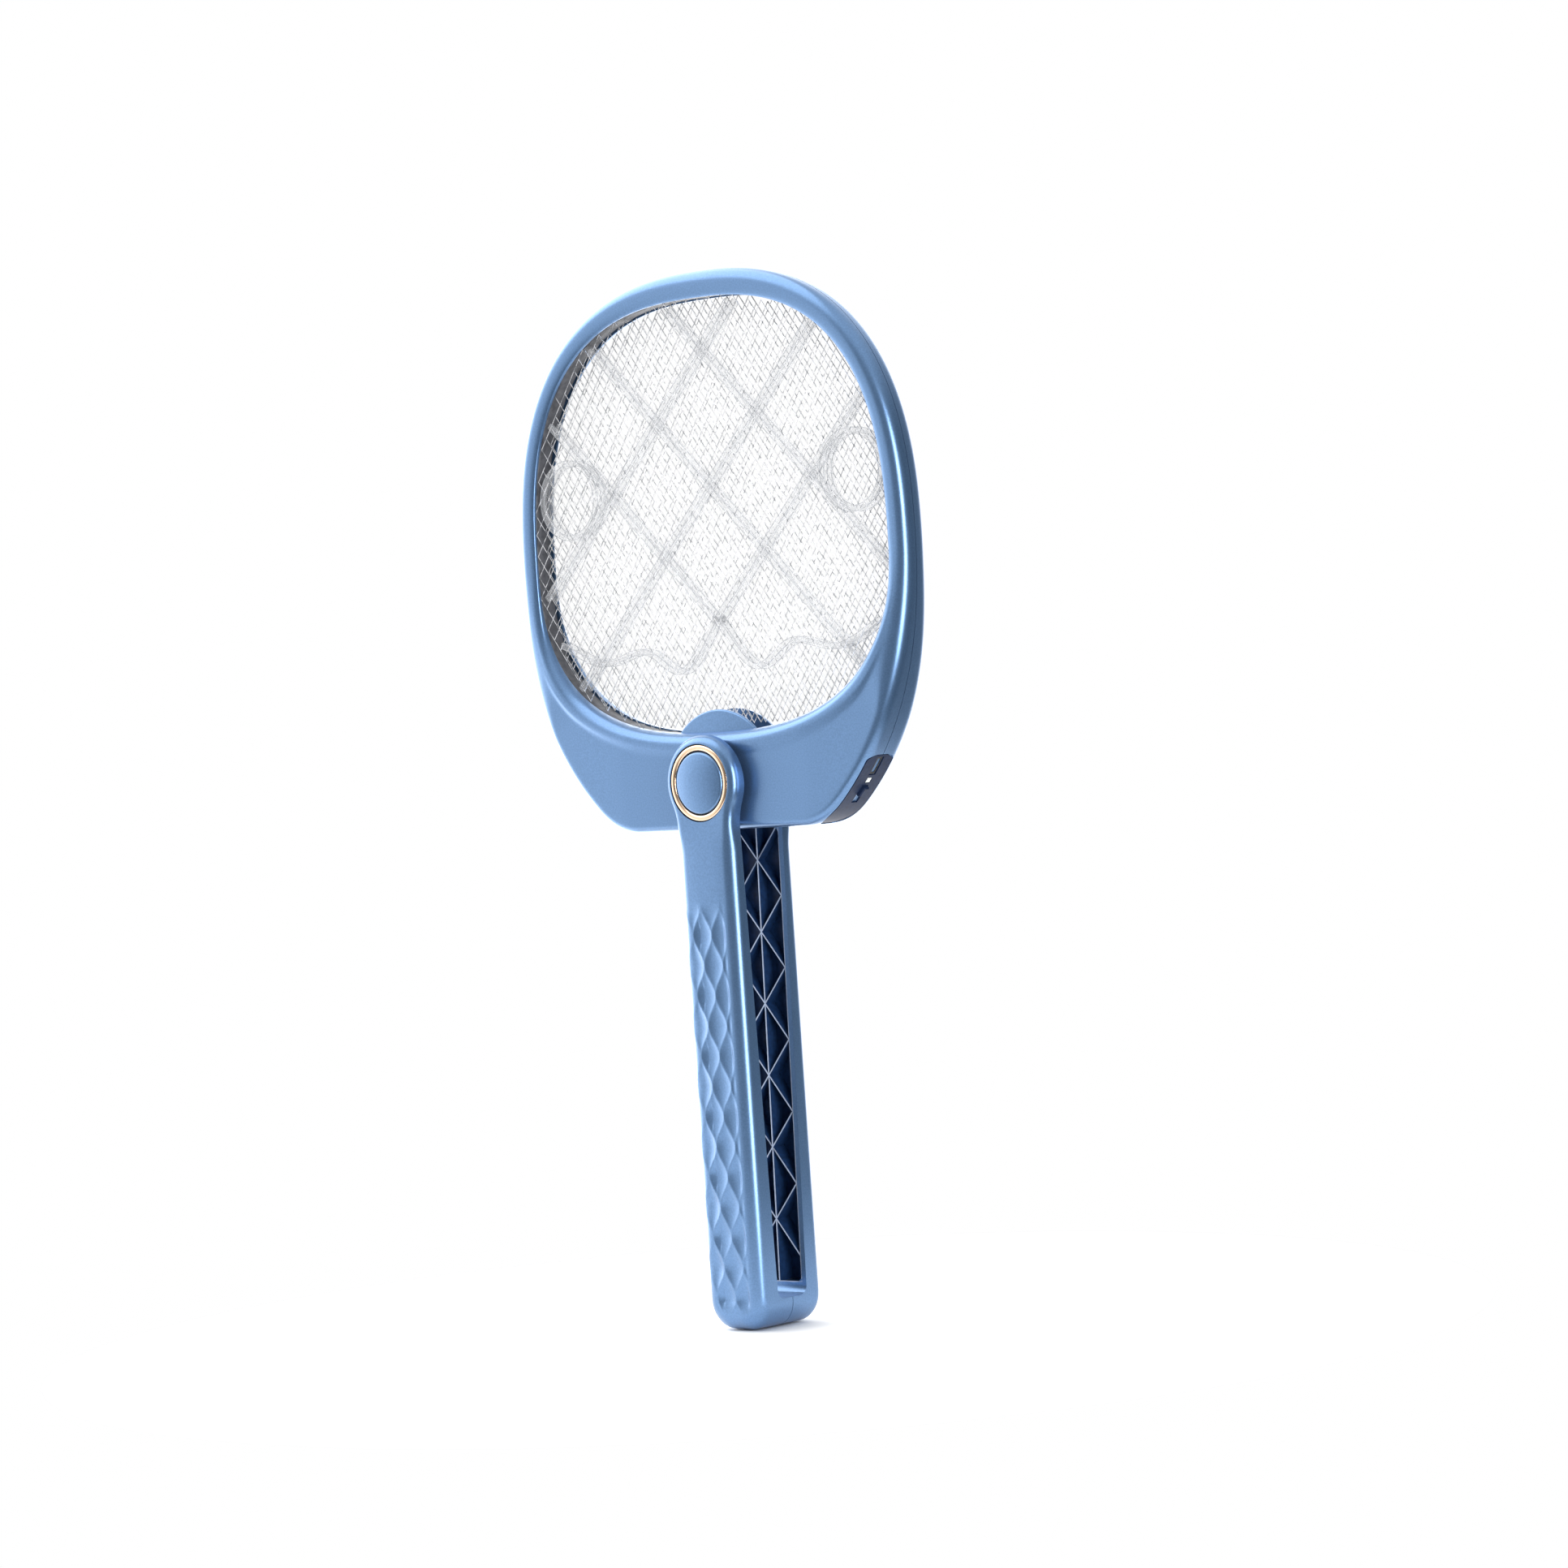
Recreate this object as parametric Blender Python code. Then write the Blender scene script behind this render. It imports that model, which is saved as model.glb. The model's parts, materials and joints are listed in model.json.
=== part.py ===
"""Folding electric fly swatter: a fork-shaped handle and a mesh head that folds down between its two arms.

Run with: blender --background --python part.py
Sizes are in millimetres and become metres where a mesh is stored. X is to the right, Y to the back, Z up.
The origin is the middle of the flat foot of the handle.
"""
from math import atan2, ceil, cos, hypot, pi, radians, sin

import bmesh
import bpy
from mathutils import Matrix, Vector

MM = 0.001
GAP = 0.3  # between pieces that touch

# Overall sizes
TOTAL_HEIGHT = 470.0
PIVOT_HEIGHT = 243.0
HEAD_HALF_WIDTH = 117.2
CHIN_BOTTOM = 221.5  # height of the flat lower edge of the head
HEAD_MID_HEIGHT = 345.0  # height where the head is widest

# Head
RIM_TOP = 12.5  # width of the hoop at its top
RIM_SIDE = 10.4  # width of the hoop at its widest place
OPENING_DROP = 80.0  # from the widest place down to the foot of the opening
HOOP_HALF_DEPTH = 7.25
CHIN_HALF_DEPTH = 12.6
CHIN_REACH = (104.0, 150.0)  # distance from the pivot over which the chin thins out to the hoop
FOLD_CLEARANCE = 0.4  # between the thick part of the head and the slot that it folds into
WALL = 2.0
EDGE_ROUND = 4.5
LIP_UNDERSIDE = 5.1  # half-depth at which the lip holds the guard
LIP_THICKNESS = 0.9
OUTER_POWER = 2.45
OPENING_POWER = 2.6
HUB_RADIUS = 9.5
TAB_RADIUS = 27.0  # round tab that covers the grid terminals

# Mesh pack
CARRIER_WIDTH = 2.9
CARRIER_HALF_DEPTH = 4.2
GUARD_THICKNESS = 0.6
GUARD_CELL = (26.0, 36.0)
GUARD_STRUT = 1.4
GRID_THICKNESS = 0.6
GRID_PITCH = 16.0
GRID_WIRE = 1.6
LATTICE_STEP = 60.4  # from the lattice's middle to its outer crossings
LATTICE_WIDTH = 2.4
LATTICE_HEIGHT = 374.5
LATTICE_THICKNESS = 1.9
LOOP_RADIUS = 17.0
LOOP_OFFSET = 25.6  # from the outer crossing to the loop's centre

# Handle
ARM_HALF_WIDTH = 16.5
ARM_WALL = 2.4
SLOT_HALF_AT_PIVOT = 14.2
ARM_THICKNESS = 7.0  # at the pivot
HANDLE_HALF_DEPTH = SLOT_HALF_AT_PIVOT + ARM_THICKNESS
SLOT_TAPER = 0.021  # each side closes in by this much for each millimetre down
SLOT_BOTTOM = 13.0
FOOT_ROUND = 10.0
ARM_EDGE_ROUND = 3.3
RIB_THICKNESS = 1.2
RIB_PITCH = 32.1
RIB_TOP_NODE = 206.5
RIB_NODES = 7

# Pivot and push button
SHAFT_RADIUS = 5.0
SHAFT_BORE = 3.4
SHAFT_FLANGE = SHAFT_RADIUS + 1.2
FLANGE_THICKNESS = 1.0
BUTTON_RADIUS = 13.9
BUTTON_CROWN = HANDLE_HALF_DEPTH + 1.6
BUTTON_EDGE = HANDLE_HALF_DEPTH - 0.8
BUTTON_SKIRT_END = HANDLE_HALF_DEPTH - 2.8
RING_WIDTH = 2.7
RING_INNER = BUTTON_RADIUS + 0.4
RING_OUTER = RING_INNER + RING_WIDTH
BUTTON_RECESS_RADIUS = RING_OUTER + GAP
BUTTON_FLOOR = SLOT_HALF_AT_PIVOT + 1.5  # half-depth of the recess floor
BOSS_RADIUS = BUTTON_RECESS_RADIUS + ARM_EDGE_ROUND + 0.4
BUTTON_WALL = 1.6
BUTTON_TRAVEL = 1.0
SPRING_TURNS = 4
SPRING_RADIUS = SHAFT_FLANGE - 0.6
SPRING_WIRE = 0.3
WASHER_RADIUS = 11.0
NUT_RECESS_RADIUS = 10.0
NUT_RADIUS = 8.0

# Electrics in the chin
CELL_RADIUS = 7.0
CELL_LENGTH = 50.0
CELL_START = HUB_RADIUS + 3.5  # nearest end of the cell, from the middle
BOARD = (HUB_RADIUS + 4.5, HUB_RADIUS + 45.5, CHIN_BOTTOM + 11.0, CHIN_BOTTOM + 34.5)  # left, right, bottom, top
BOARD_FRONT = 3.0
BOARD_THICKNESS = 1.6
SWITCH_PLACE = 0.97  # along the side curve of the chin, from 0 at the widest place to 1
LED_PLACE = 0.91
SOCKET_PLACE = 0.85
KNOB_TRAVEL = 4.0

# Fasteners
SCREW_SHANK = 0.9
SCREW_HEAD = 1.8
SCREW_SEAT = 1.6  # depth of the head screws' seats
PILLAR_RADIUS = 2.0
HOOP_SCREW_ANGLES = (0.0, 55.0, -55.0, 105.0, -105.0)
CHIN_SCREWS = ((72.0, 258.0), (-72.0, 258.0))
HANDLE_SCREWS = ((8.0, 6.5), (-8.0, 6.5))
HANDLE_SCREW_HEAD = 2.6

SIDES = 28


# ---------------------------------------------------------------- outlines

def smoothstep(value):
    value = min(1.0, max(0.0, value))
    return value * value * (3 - 2 * value)


def bezier(points, t):
    """A point of the Bezier curve with these control points."""
    points = [Vector(p) for p in points]
    while len(points) > 1:
        points = [a.lerp(b, t) for a, b in zip(points, points[1:])]
    return points[0]


def superellipse_radius(angle, half_width, half_height, power):
    """Distance from the middle to the outline; angle is from straight up."""
    across = abs(sin(angle)) / half_width
    along = abs(cos(angle)) / half_height
    return (across ** power + along ** power) ** (-1 / power)


def opening_point(angle, beyond=0.0):
    """Point of the opening's outline, or of one that lies beyond it by a distance."""
    half_width = HEAD_HALF_WIDTH - RIM_SIDE + beyond
    rise = TOTAL_HEIGHT - RIM_TOP - HEAD_MID_HEIGHT + beyond
    half_height = rise if cos(angle) > 0 else OPENING_DROP + beyond
    reach = superellipse_radius(angle, half_width, half_height, OPENING_POWER)
    return Vector((reach * sin(angle), HEAD_MID_HEIGHT + reach * cos(angle)))


def opening_outline(beyond=0.0, count=48):
    return [opening_point(2 * pi * k / count, beyond) for k in range(count)]


def chin_side(t):
    """Right-hand side of the head, from its widest place at 0 down to the corner of the chin at 1."""
    drop = HEAD_MID_HEIGHT - CHIN_BOTTOM
    shape = ((1.0, 0.0), (1.0, 0.34), (0.913, 0.672), (0.623, 0.923))
    return bezier([(HEAD_HALF_WIDTH * x, HEAD_MID_HEIGHT - drop * z) for x, z in shape], t)


def chin_corner(t):
    """The rounded corner between the side and the flat lower edge."""
    drop = HEAD_MID_HEIGHT - CHIN_BOTTOM
    shape = ((0.623, 0.923), (0.534, 1.0), (0.427, 1.0))
    return bezier([(HEAD_HALF_WIDTH * x, HEAD_MID_HEIGHT - drop * z) for x, z in shape], t)


def head_outline():
    """Outer outline of the head, clockwise from the top as seen from the front."""
    right = []
    rise = TOTAL_HEIGHT - HEAD_MID_HEIGHT
    for k in range(10):
        angle = pi / 2 * k / 10
        reach = superellipse_radius(angle, HEAD_HALF_WIDTH, rise, OUTER_POWER)
        right.append(Vector((reach * sin(angle), HEAD_MID_HEIGHT + reach * cos(angle))))
    right += [chin_side(k / 6) for k in range(6)]
    right += [chin_corner(k / 3) for k in range(4)]
    half_flat = right[-1].x
    right += [Vector((half_flat * (1 - k / 3), CHIN_BOTTOM)) for k in (1, 2, 3)]
    left = [Vector((-p.x, p.y)) for p in right[-2:0:-1]]
    return right + left


def half_depth(point):
    """Half the thickness of the head, which is thickest round the pivot."""
    start, end = CHIN_REACH
    reach = hypot(point.x, point.y - PIVOT_HEIGHT)
    thinned = smoothstep((reach - start) / (end - start))
    thickest = min(CHIN_HALF_DEPTH, slot_half(PIVOT_HEIGHT - reach) - FOLD_CLEARANCE)
    return thickest + (HOOP_HALF_DEPTH - thickest) * thinned


def slot_half(height):
    """Half the gap between the arms."""
    return SLOT_HALF_AT_PIVOT - SLOT_TAPER * (PIVOT_HEIGHT - height)


def inset(polygon, distance):
    """A convex anticlockwise polygon with each side moved in."""
    count = len(polygon)
    lines = []
    for k in range(count):
        a, b = Vector(polygon[k]), Vector(polygon[(k + 1) % count])
        along = (b - a).normalized()
        lines.append((a + Vector((-along.y, along.x)) * distance, along))
    corners = []
    for k in range(count):
        (p, d), (q, e) = lines[k - 1], lines[k]
        cross = d.x * e.y - d.y * e.x
        if abs(cross) < 1e-9:
            corners.append(q)
            continue
        t = ((q.x - p.x) * e.y - (q.y - p.y) * e.x) / cross
        corners.append(p + d * t)
    return corners


def clip(polygon, window):
    """The part of a convex polygon that lies in a convex anticlockwise window."""
    for k in range(len(window)):
        a, b = window[k], window[(k + 1) % len(window)]
        along = b - a
        kept = []
        for p, q in zip(polygon, polygon[1:] + polygon[:1]):
            side_p = along.x * (p.y - a.y) - along.y * (p.x - a.x)
            side_q = along.x * (q.y - a.y) - along.y * (q.x - a.x)
            if side_p >= 0:
                kept.append(p)
            if side_p * side_q < 0:
                kept.append(p.lerp(q, side_p / (side_p - side_q)))
        polygon = kept
        if len(polygon) < 3:
            return []
    return polygon


def area(polygon):
    return 0.5 * sum(a.x * b.y - a.y * b.x for a, b in zip(polygon, polygon[1:] + polygon[:1]))


# ---------------------------------------------------------------- building blocks

def clear_scene():
    for obj in list(bpy.data.objects):
        bpy.data.objects.remove(obj)


def material(name, colour, roughness, metallic=0.0):
    made = bpy.data.materials.new(name)
    made.use_nodes = True
    shader = made.node_tree.nodes["Principled BSDF"]
    shader.inputs["Base Color"].default_value = (*colour, 1.0)
    shader.inputs["Roughness"].default_value = roughness
    shader.inputs["Metallic"].default_value = metallic
    return made


def face_outwards(bm):
    bmesh.ops.recalc_face_normals(bm, faces=bm.faces)
    if bm.calc_volume(signed=True) < 0:
        bmesh.ops.reverse_faces(bm, faces=bm.faces)


def finish(bm, name, look, parent, origin=None, smooth_angle=35.0):
    """Stores a bmesh in millimetres as an object in metres, with its origin at its parent or at a point."""
    face_outwards(bm)
    place = Vector(origin) * MM if origin else parent.location.copy()
    bmesh.ops.scale(bm, vec=(MM, MM, MM), verts=bm.verts)
    bmesh.ops.translate(bm, vec=-place, verts=bm.verts)
    mesh = bpy.data.meshes.new(name)
    bm.to_mesh(mesh)
    bm.free()
    mesh.shade_smooth()
    mesh.set_sharp_from_angle(angle=radians(smooth_angle))
    obj = bpy.data.objects.new(name, mesh)
    bpy.context.scene.collection.objects.link(obj)
    obj.data.materials.append(look)
    obj.parent = parent
    obj.location = place - parent.location
    return obj


def empty(name, point):
    made = bpy.data.objects.new(name, None)
    made.location = Vector(point) * MM
    bpy.context.scene.collection.objects.link(made)
    return made


def combine(bm, others, operation):
    """Boolean of one bmesh with several; all are used up, and the result is a new bmesh."""
    cutters = bpy.data.collections.new("boolean")
    bpy.context.scene.collection.children.link(cutters)
    holders = []
    for source in (bm, *others):
        face_outwards(source)
        bmesh.ops.triangulate(source, faces=[f for f in source.faces if len(f.verts) == 4])
        mesh = bpy.data.meshes.new("boolean")
        source.to_mesh(mesh)
        source.free()
        holder = bpy.data.objects.new("boolean", mesh)
        (cutters if holders else bpy.context.scene.collection).objects.link(holder)
        holders.append(holder)
    modifier = holders[0].modifiers.new("Boolean", "BOOLEAN")
    modifier.operation = operation
    modifier.solver = "EXACT"
    modifier.operand_type = "COLLECTION"
    modifier.collection = cutters
    graph = bpy.context.evaluated_depsgraph_get()
    result = bmesh.new()
    result.from_mesh(holders[0].evaluated_get(graph).to_mesh())
    for holder in holders:
        mesh = holder.data
        bpy.data.objects.remove(holder)
        bpy.data.meshes.remove(mesh)
    bpy.data.collections.remove(cutters)
    bmesh.ops.remove_doubles(result, verts=result.verts, dist=0.002)
    bmesh.ops.dissolve_degenerate(result, edges=result.edges, dist=0.002)
    return result


def union(bm, *others):
    return combine(bm, others, "UNION")


def cut(bm, *others):
    return combine(bm, others, "DIFFERENCE")


def prism(outline, front, back, round_front=0.0, round_steps=2):
    """An outline of (x, z) points extruded from front to back, with the front edge rounded if asked."""
    bm = bmesh.new()
    face = bm.faces.new([bm.verts.new((p[0], front, p[1])) for p in outline])
    made = bmesh.ops.extrude_face_region(bm, geom=[face])
    far = [v for v in made["geom"] if isinstance(v, bmesh.types.BMVert)]
    bmesh.ops.translate(bm, vec=(0, back - front, 0), verts=far)
    if round_front:
        bm.edges.ensure_lookup_table()
        rim = [e for e in bm.edges if all(abs(v.co.y - front) < 1e-6 for v in e.verts)]
        bmesh.ops.bevel(bm, geom=rim, offset=round_front, segments=round_steps, profile=0.5, affect="EDGES")
    return bm


def side_prism(outline, left, right):
    """An outline of (y, z) points extruded from left to right."""
    bm = bmesh.new()
    face = bm.faces.new([bm.verts.new((left, p[0], p[1])) for p in outline])
    made = bmesh.ops.extrude_face_region(bm, geom=[face])
    far = [v for v in made["geom"] if isinstance(v, bmesh.types.BMVert)]
    bmesh.ops.translate(bm, vec=(right - left, 0, 0), verts=far)
    return bm


def box(low, high):
    bm = bmesh.new()
    bmesh.ops.create_cube(bm, size=1.0)
    size = Vector(high) - Vector(low)
    bmesh.ops.scale(bm, vec=size, verts=bm.verts)
    bmesh.ops.translate(bm, vec=(Vector(high) + Vector(low)) / 2, verts=bm.verts)
    return bm


def turned(profile, centre=(0.0, PIVOT_HEIGHT), sides=SIDES):
    """A closed profile of (radius, y) points turned about the Y direction through a centre (x, z)."""
    bm = bmesh.new()
    rings = []
    for radius, y in profile:
        if radius < 1e-6:
            rings.append([bm.verts.new((centre[0], y, centre[1]))])
            continue
        turns = [2 * pi * k / sides for k in range(sides)]
        rings.append([bm.verts.new((centre[0] + radius * cos(a), y, centre[1] + radius * sin(a))) for a in turns])
    closed = all(len(ring) > 1 for ring in rings)
    pairs = list(zip(rings, rings[1:])) + ([(rings[-1], rings[0])] if closed else [])
    for a, b in pairs:
        for k in range(sides):
            n = (k + 1) % sides
            corners = [a[k % len(a)], a[n % len(a)], b[n % len(b)], b[k % len(b)]]
            distinct = list(dict.fromkeys(corners))
            if len(distinct) > 2:
                bm.faces.new(distinct)
    return bm


def rod(radius, front, back, centre=(0.0, PIVOT_HEIGHT), sides=SIDES):
    return turned([(0, front), (radius, front), (radius, back), (0, back)], centre, sides)


def mirrored(bm):
    """The same shape reflected front to back."""
    bmesh.ops.scale(bm, vec=(1, -1, 1), verts=bm.verts)
    bmesh.ops.reverse_faces(bm, faces=bm.faces)
    return bm


def on_side(bm, place):
    """Moves a shape made round the origin to the chin's right side: its X runs down the side, its Z points out."""
    point = chin_side(place)
    along = (chin_side(place + 0.01) - chin_side(place - 0.01)).normalized()
    out = Vector((-along.y, along.x)) if along.y < 0 and along.x > 0 else Vector((-along.y, along.x))
    turn = Matrix((
        (along.x, 0, out.x, point.x),
        (0, 1, 0, 0),
        (along.y, 0, out.y, point.y),
        (0, 0, 0, 1),
    ))
    bm.transform(turn)
    return bm


# ---------------------------------------------------------------- head shells

def shell_section(outer):
    """Closed profile of the front shell where it passes one point of the outer outline, as world points."""
    from_middle = outer - Vector((0, HEAD_MID_HEIGHT))
    rim = opening_point(atan2(from_middle.x, from_middle.y))
    span = (outer - rim).length
    out = (outer - rim) / span

    def at(distance):
        return rim + out * distance

    edge_depth = half_depth(at(span))
    thick = min(1.0, (half_depth(rim) - HOOP_HALF_DEPTH) / (CHIN_HALF_DEPTH - HOOP_HALF_DEPTH))
    bevel = 5.0 + 2.5 * thick
    rim_depth = LIP_UNDERSIDE + LIP_THICKNESS + thick
    shoulder = span - EDGE_ROUND
    step = (bevel + shoulder) / 2
    corner = 0.3 * EDGE_ROUND
    profile = [
        (span, GAP / 2),
        (span, edge_depth - EDGE_ROUND),
        (span - corner, edge_depth - corner),
        (shoulder, half_depth(at(shoulder))),
        (step, half_depth(at(step))),
        (bevel, half_depth(at(bevel))),
        (0.4 * bevel, rim_depth + 0.65 * (half_depth(at(bevel)) - rim_depth)),
        (0.0, rim_depth),
        (0.0, LIP_UNDERSIDE),
        (CARRIER_WIDTH + GAP, LIP_UNDERSIDE),
        (bevel, half_depth(at(bevel)) - WALL),
        (step, half_depth(at(step)) - WALL),
        (shoulder, half_depth(at(shoulder)) - WALL),
        (span - WALL, edge_depth - EDGE_ROUND),
        (span - WALL, GAP / 2),
    ]
    return [Vector((at(d).x, -y, at(d).y)) for d, y in profile]


def shell_skin():
    bm = bmesh.new()
    rings = [[bm.verts.new(p) for p in shell_section(point)] for point in head_outline()]
    for a, b in zip(rings, rings[1:] + rings[:1]):
        for k in range(len(a)):
            n = (k + 1) % len(a)
            bm.faces.new([a[k], a[n], b[n], b[k]])
    return bm


def terminal_tab():
    """The round tab that rises into the opening over the grid terminals."""
    foot = HEAD_MID_HEIGHT - OPENING_DROP - 4.0
    centre = HEAD_MID_HEIGHT - OPENING_DROP - 16.7
    start = atan2(foot - centre, TAB_RADIUS)
    arc = [start + (pi - 2 * start) * k / 14 for k in range(15)]
    outline = [(TAB_RADIUS * cos(a), centre + TAB_RADIUS * sin(a)) for a in arc]
    return prism(outline, -LIP_UNDERSIDE - 2 * LIP_THICKNESS, -LIP_UNDERSIDE - 0.02)


def hoop_screw_places():
    """Middles of the hollow of the hoop, where its screws go."""
    return [opening_point(radians(angle), CARRIER_WIDTH + GAP + PILLAR_RADIUS + 0.6) for angle in HOOP_SCREW_ANGLES]


def head_screw_places():
    return hoop_screw_places() + [Vector(p) for p in CHIN_SCREWS]


def side_windows():
    """Cutters for the switch, the indicator and the charging socket in the chin's right side."""
    return [
        on_side(box((-5.2, -1.9, -WALL - 2.0), (5.2, 1.9, 3.0)), SWITCH_PLACE),
        on_side(box((-1.6, -1.6, -WALL - 2.0), (1.6, 1.6, 3.0)), LED_PLACE),
        on_side(box((-4.9, -2.1, -WALL - 2.0), (4.9, 2.1, 3.0)), SOCKET_PLACE),
    ]


def head_front_frame(look, parent):
    bm = shell_skin()
    hub = rod(HUB_RADIUS, -CHIN_HALF_DEPTH + 1.0, -GAP / 2)
    places = head_screw_places()
    pillars = [rod(PILLAR_RADIUS, -half_depth(p) + 1.2, -GAP / 2, p, 8) for p in places]
    bm = union(bm, hub, terminal_tab(), *pillars)
    holes = [rod(SCREW_SHANK + 0.2, -half_depth(p) + 2.7, 1.0, p, 10) for p in places]
    bm = cut(bm, rod(SHAFT_RADIUS + GAP, -CHIN_HALF_DEPTH - 5, 5), *side_windows(), *holes)
    return finish(bm, "head_front_frame", look, parent)


def head_rear_frame(look, parent):
    bm = mirrored(shell_skin())
    hub = rod(HUB_RADIUS, GAP / 2, CHIN_HALF_DEPTH - 1.0)
    pillars = [rod(PILLAR_RADIUS + 0.6, GAP / 2, half_depth(p) - 0.8, p, 8) for p in head_screw_places()]
    bm = union(bm, hub, mirrored(terminal_tab()), *pillars)
    holes = []
    for p in head_screw_places():
        seat = half_depth(p) - SCREW_SEAT
        holes.append(turned(
            [(0, -1), (SCREW_SHANK + GAP, -1), (SCREW_SHANK + GAP, seat), (SCREW_HEAD + GAP, seat),
             (SCREW_HEAD + GAP, seat + 6), (0, seat + 6)], p, 8))
    bm = cut(bm, rod(SHAFT_RADIUS + GAP, -5, CHIN_HALF_DEPTH + 5), *side_windows(), *holes)
    return finish(bm, "head_rear_frame", look, parent)


def head_screws(look, parent):
    for number, p in enumerate(head_screw_places(), 1):
        seat = half_depth(p) - SCREW_SEAT + 0.02
        tip = -half_depth(p) + 3.0
        profile = [(0, tip), (SCREW_SHANK, tip + 0.8), (SCREW_SHANK, seat), (SCREW_HEAD, seat),
                   (SCREW_HEAD, seat + 0.9), (SCREW_HEAD * 0.6, seat + 1.3), (0, seat + 1.3)]
        finish(turned(profile, p, 12), f"head_screw_{number}", look, parent)


# ---------------------------------------------------------------- mesh pack

def carrier_ring(look, parent):
    bm = bmesh.new()
    inner, outer = opening_outline(GAP), opening_outline(CARRIER_WIDTH)
    rings = []
    for a, b in zip(inner, outer):
        d = CARRIER_HALF_DEPTH
        corners = ((a, -d), (b, -d), (b, d), (a, d))
        rings.append([bm.verts.new((p.x, y, p.y)) for p, y in corners])
    for a, b in zip(rings, rings[1:] + rings[:1]):
        for k in range(4):
            n = (k + 1) % 4
            bm.faces.new([a[k], a[n], b[n], b[k]])
    return finish(bm, "grid_carrier_ring", look, parent)


def pierced_plate(name, beyond, holes, front, thickness, look, parent):
    """A thin plate that reaches this far beyond the opening's outline, with these holes in it."""
    curve = bpy.data.curves.new(name, "CURVE")
    curve.dimensions = "2D"
    curve.fill_mode = "BOTH"
    curve.extrude = thickness / 2 * MM
    middle = Vector((0, PIVOT_HEIGHT))
    for outline in [opening_outline(beyond)] + holes:
        spline = curve.splines.new("POLY")
        spline.points.add(len(outline) - 1)
        for point, place in zip(spline.points, outline):
            point.co = (*((place - middle) * MM), 0.0, 1.0)
        spline.use_cyclic_u = True
    curve.materials.append(look)
    obj = bpy.data.objects.new(name, curve)
    bpy.context.scene.collection.objects.link(obj)
    obj.parent = parent
    obj.rotation_euler = (pi / 2, 0, 0)
    obj.location = (0, (front + thickness / 2) * MM, 0)
    return obj


def diamond_holes():
    """The cells of a guard, cut off where the opening ends."""
    across, along = GUARD_CELL
    window = [Vector(p) for p in reversed(opening_outline(-GUARD_STRUT / 2))]
    columns = ceil(HEAD_HALF_WIDTH / across)
    rows = ceil(TOTAL_HEIGHT / along)
    holes = []
    for row in range(-2 * rows, 2 * rows + 1):
        for column in range(-columns, columns + 1):
            x = (column + 0.5 * (row % 2)) * across
            z = LATTICE_HEIGHT + row * along / 2
            cell = [Vector((x + across / 2, z)), Vector((x, z + along / 2)),
                    Vector((x - across / 2, z)), Vector((x, z - along / 2))]
            hole = clip(inset(cell, GUARD_STRUT / 2), window)
            if hole and area(hole) > across * along / 12:
                holes.append(hole)
    return holes


def guard(name, front, look, parent):
    return pierced_plate(name, CARRIER_WIDTH - 0.3, diamond_holes(), front, GUARD_THICKNESS, look, parent)


def charged_grid(look, parent):
    window = [Vector(p) for p in reversed(opening_outline(-GRID_WIRE / 2))]
    columns = ceil(HEAD_HALF_WIDTH / GRID_PITCH)
    half = (GRID_PITCH - GRID_WIRE) / 2
    holes = []
    for column in range(-columns, columns + 1):
        x = column * GRID_PITCH
        slot = [Vector((x + half, 0)), Vector((x + half, TOTAL_HEIGHT)),
                Vector((x - half, TOTAL_HEIGHT)), Vector((x - half, 0))]
        hole = clip(slot, window)
        if hole and area(hole) > half * half:
            holes.append(hole)
    return pierced_plate("charged_grid", 0.0, holes, -GRID_THICKNESS / 2, GRID_THICKNESS, look, parent)


def support_lattice(name, front, look, parent):
    """Diagonal straps with a round loop at each side, which hold the layers apart."""
    back = front + LATTICE_THICKNESS
    window = [Vector(p) for p in reversed(opening_outline(-0.2))]
    half = LATTICE_WIDTH / 2
    middle = Vector((0, LATTICE_HEIGHT))
    bm = None
    for slope in (1, -1):
        along = Vector((1, slope)).normalized()
        across = Vector((-along.y, along.x))
        for step in (-1, 0, 1):
            centre = middle + Vector((0, step * LATTICE_STEP))
            ends = (centre + along * HEAD_HALF_WIDTH * 2, centre - along * HEAD_HALF_WIDTH * 2)
            strap = [ends[0] - across * half, ends[0] + across * half,
                     ends[1] + across * half, ends[1] - across * half]
            strap = prism(clip(strap, window), front, back)
            bm = union(bm, strap) if bm else strap
    for side in (1, -1):
        centre = middle + Vector((side * (LATTICE_STEP + LOOP_OFFSET), 0))
        low, high = LOOP_RADIUS - half, LOOP_RADIUS + half
        loop = turned([(low, front), (high, front), (high, back), (low, back)], centre, 20)
        bm = union(bm, loop)
    return finish(bm, name, look, parent)


def terminals(look, parent):
    """Tabs below the carrier ring that the leads are soldered to, one for each layer."""
    top = HEAD_MID_HEIGHT - OPENING_DROP - CARRIER_WIDTH - 1.0
    for name, x, y in (("front", -7.0, -3.5), ("middle", 0.0, -0.2), ("rear", 7.0, 3.1)):
        finish(box((x - 2, y, top - 5), (x + 2, y + 0.4, top)), f"grid_terminal_{name}", look, parent)


# ---------------------------------------------------------------- handle

def arm_outline():
    """Front view of an arm: a round boss, straight sides and a rounded foot."""
    meet = -atan2((BOSS_RADIUS ** 2 - ARM_HALF_WIDTH ** 2) ** 0.5, ARM_HALF_WIDTH)
    arc = [meet + (pi - 2 * meet) * k / 22 for k in range(23)]
    boss = [(BOSS_RADIUS * cos(a), PIVOT_HEIGHT + BOSS_RADIUS * sin(a)) for a in arc]
    corner = ARM_HALF_WIDTH - FOOT_ROUND
    left = [(-corner + FOOT_ROUND * cos(a), FOOT_ROUND + FOOT_ROUND * sin(a))
            for a in (pi + pi / 2 * k / 4 for k in range(5))]
    right = [(-x, z) for x, z in reversed(left)]
    return boss + left + right


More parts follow.
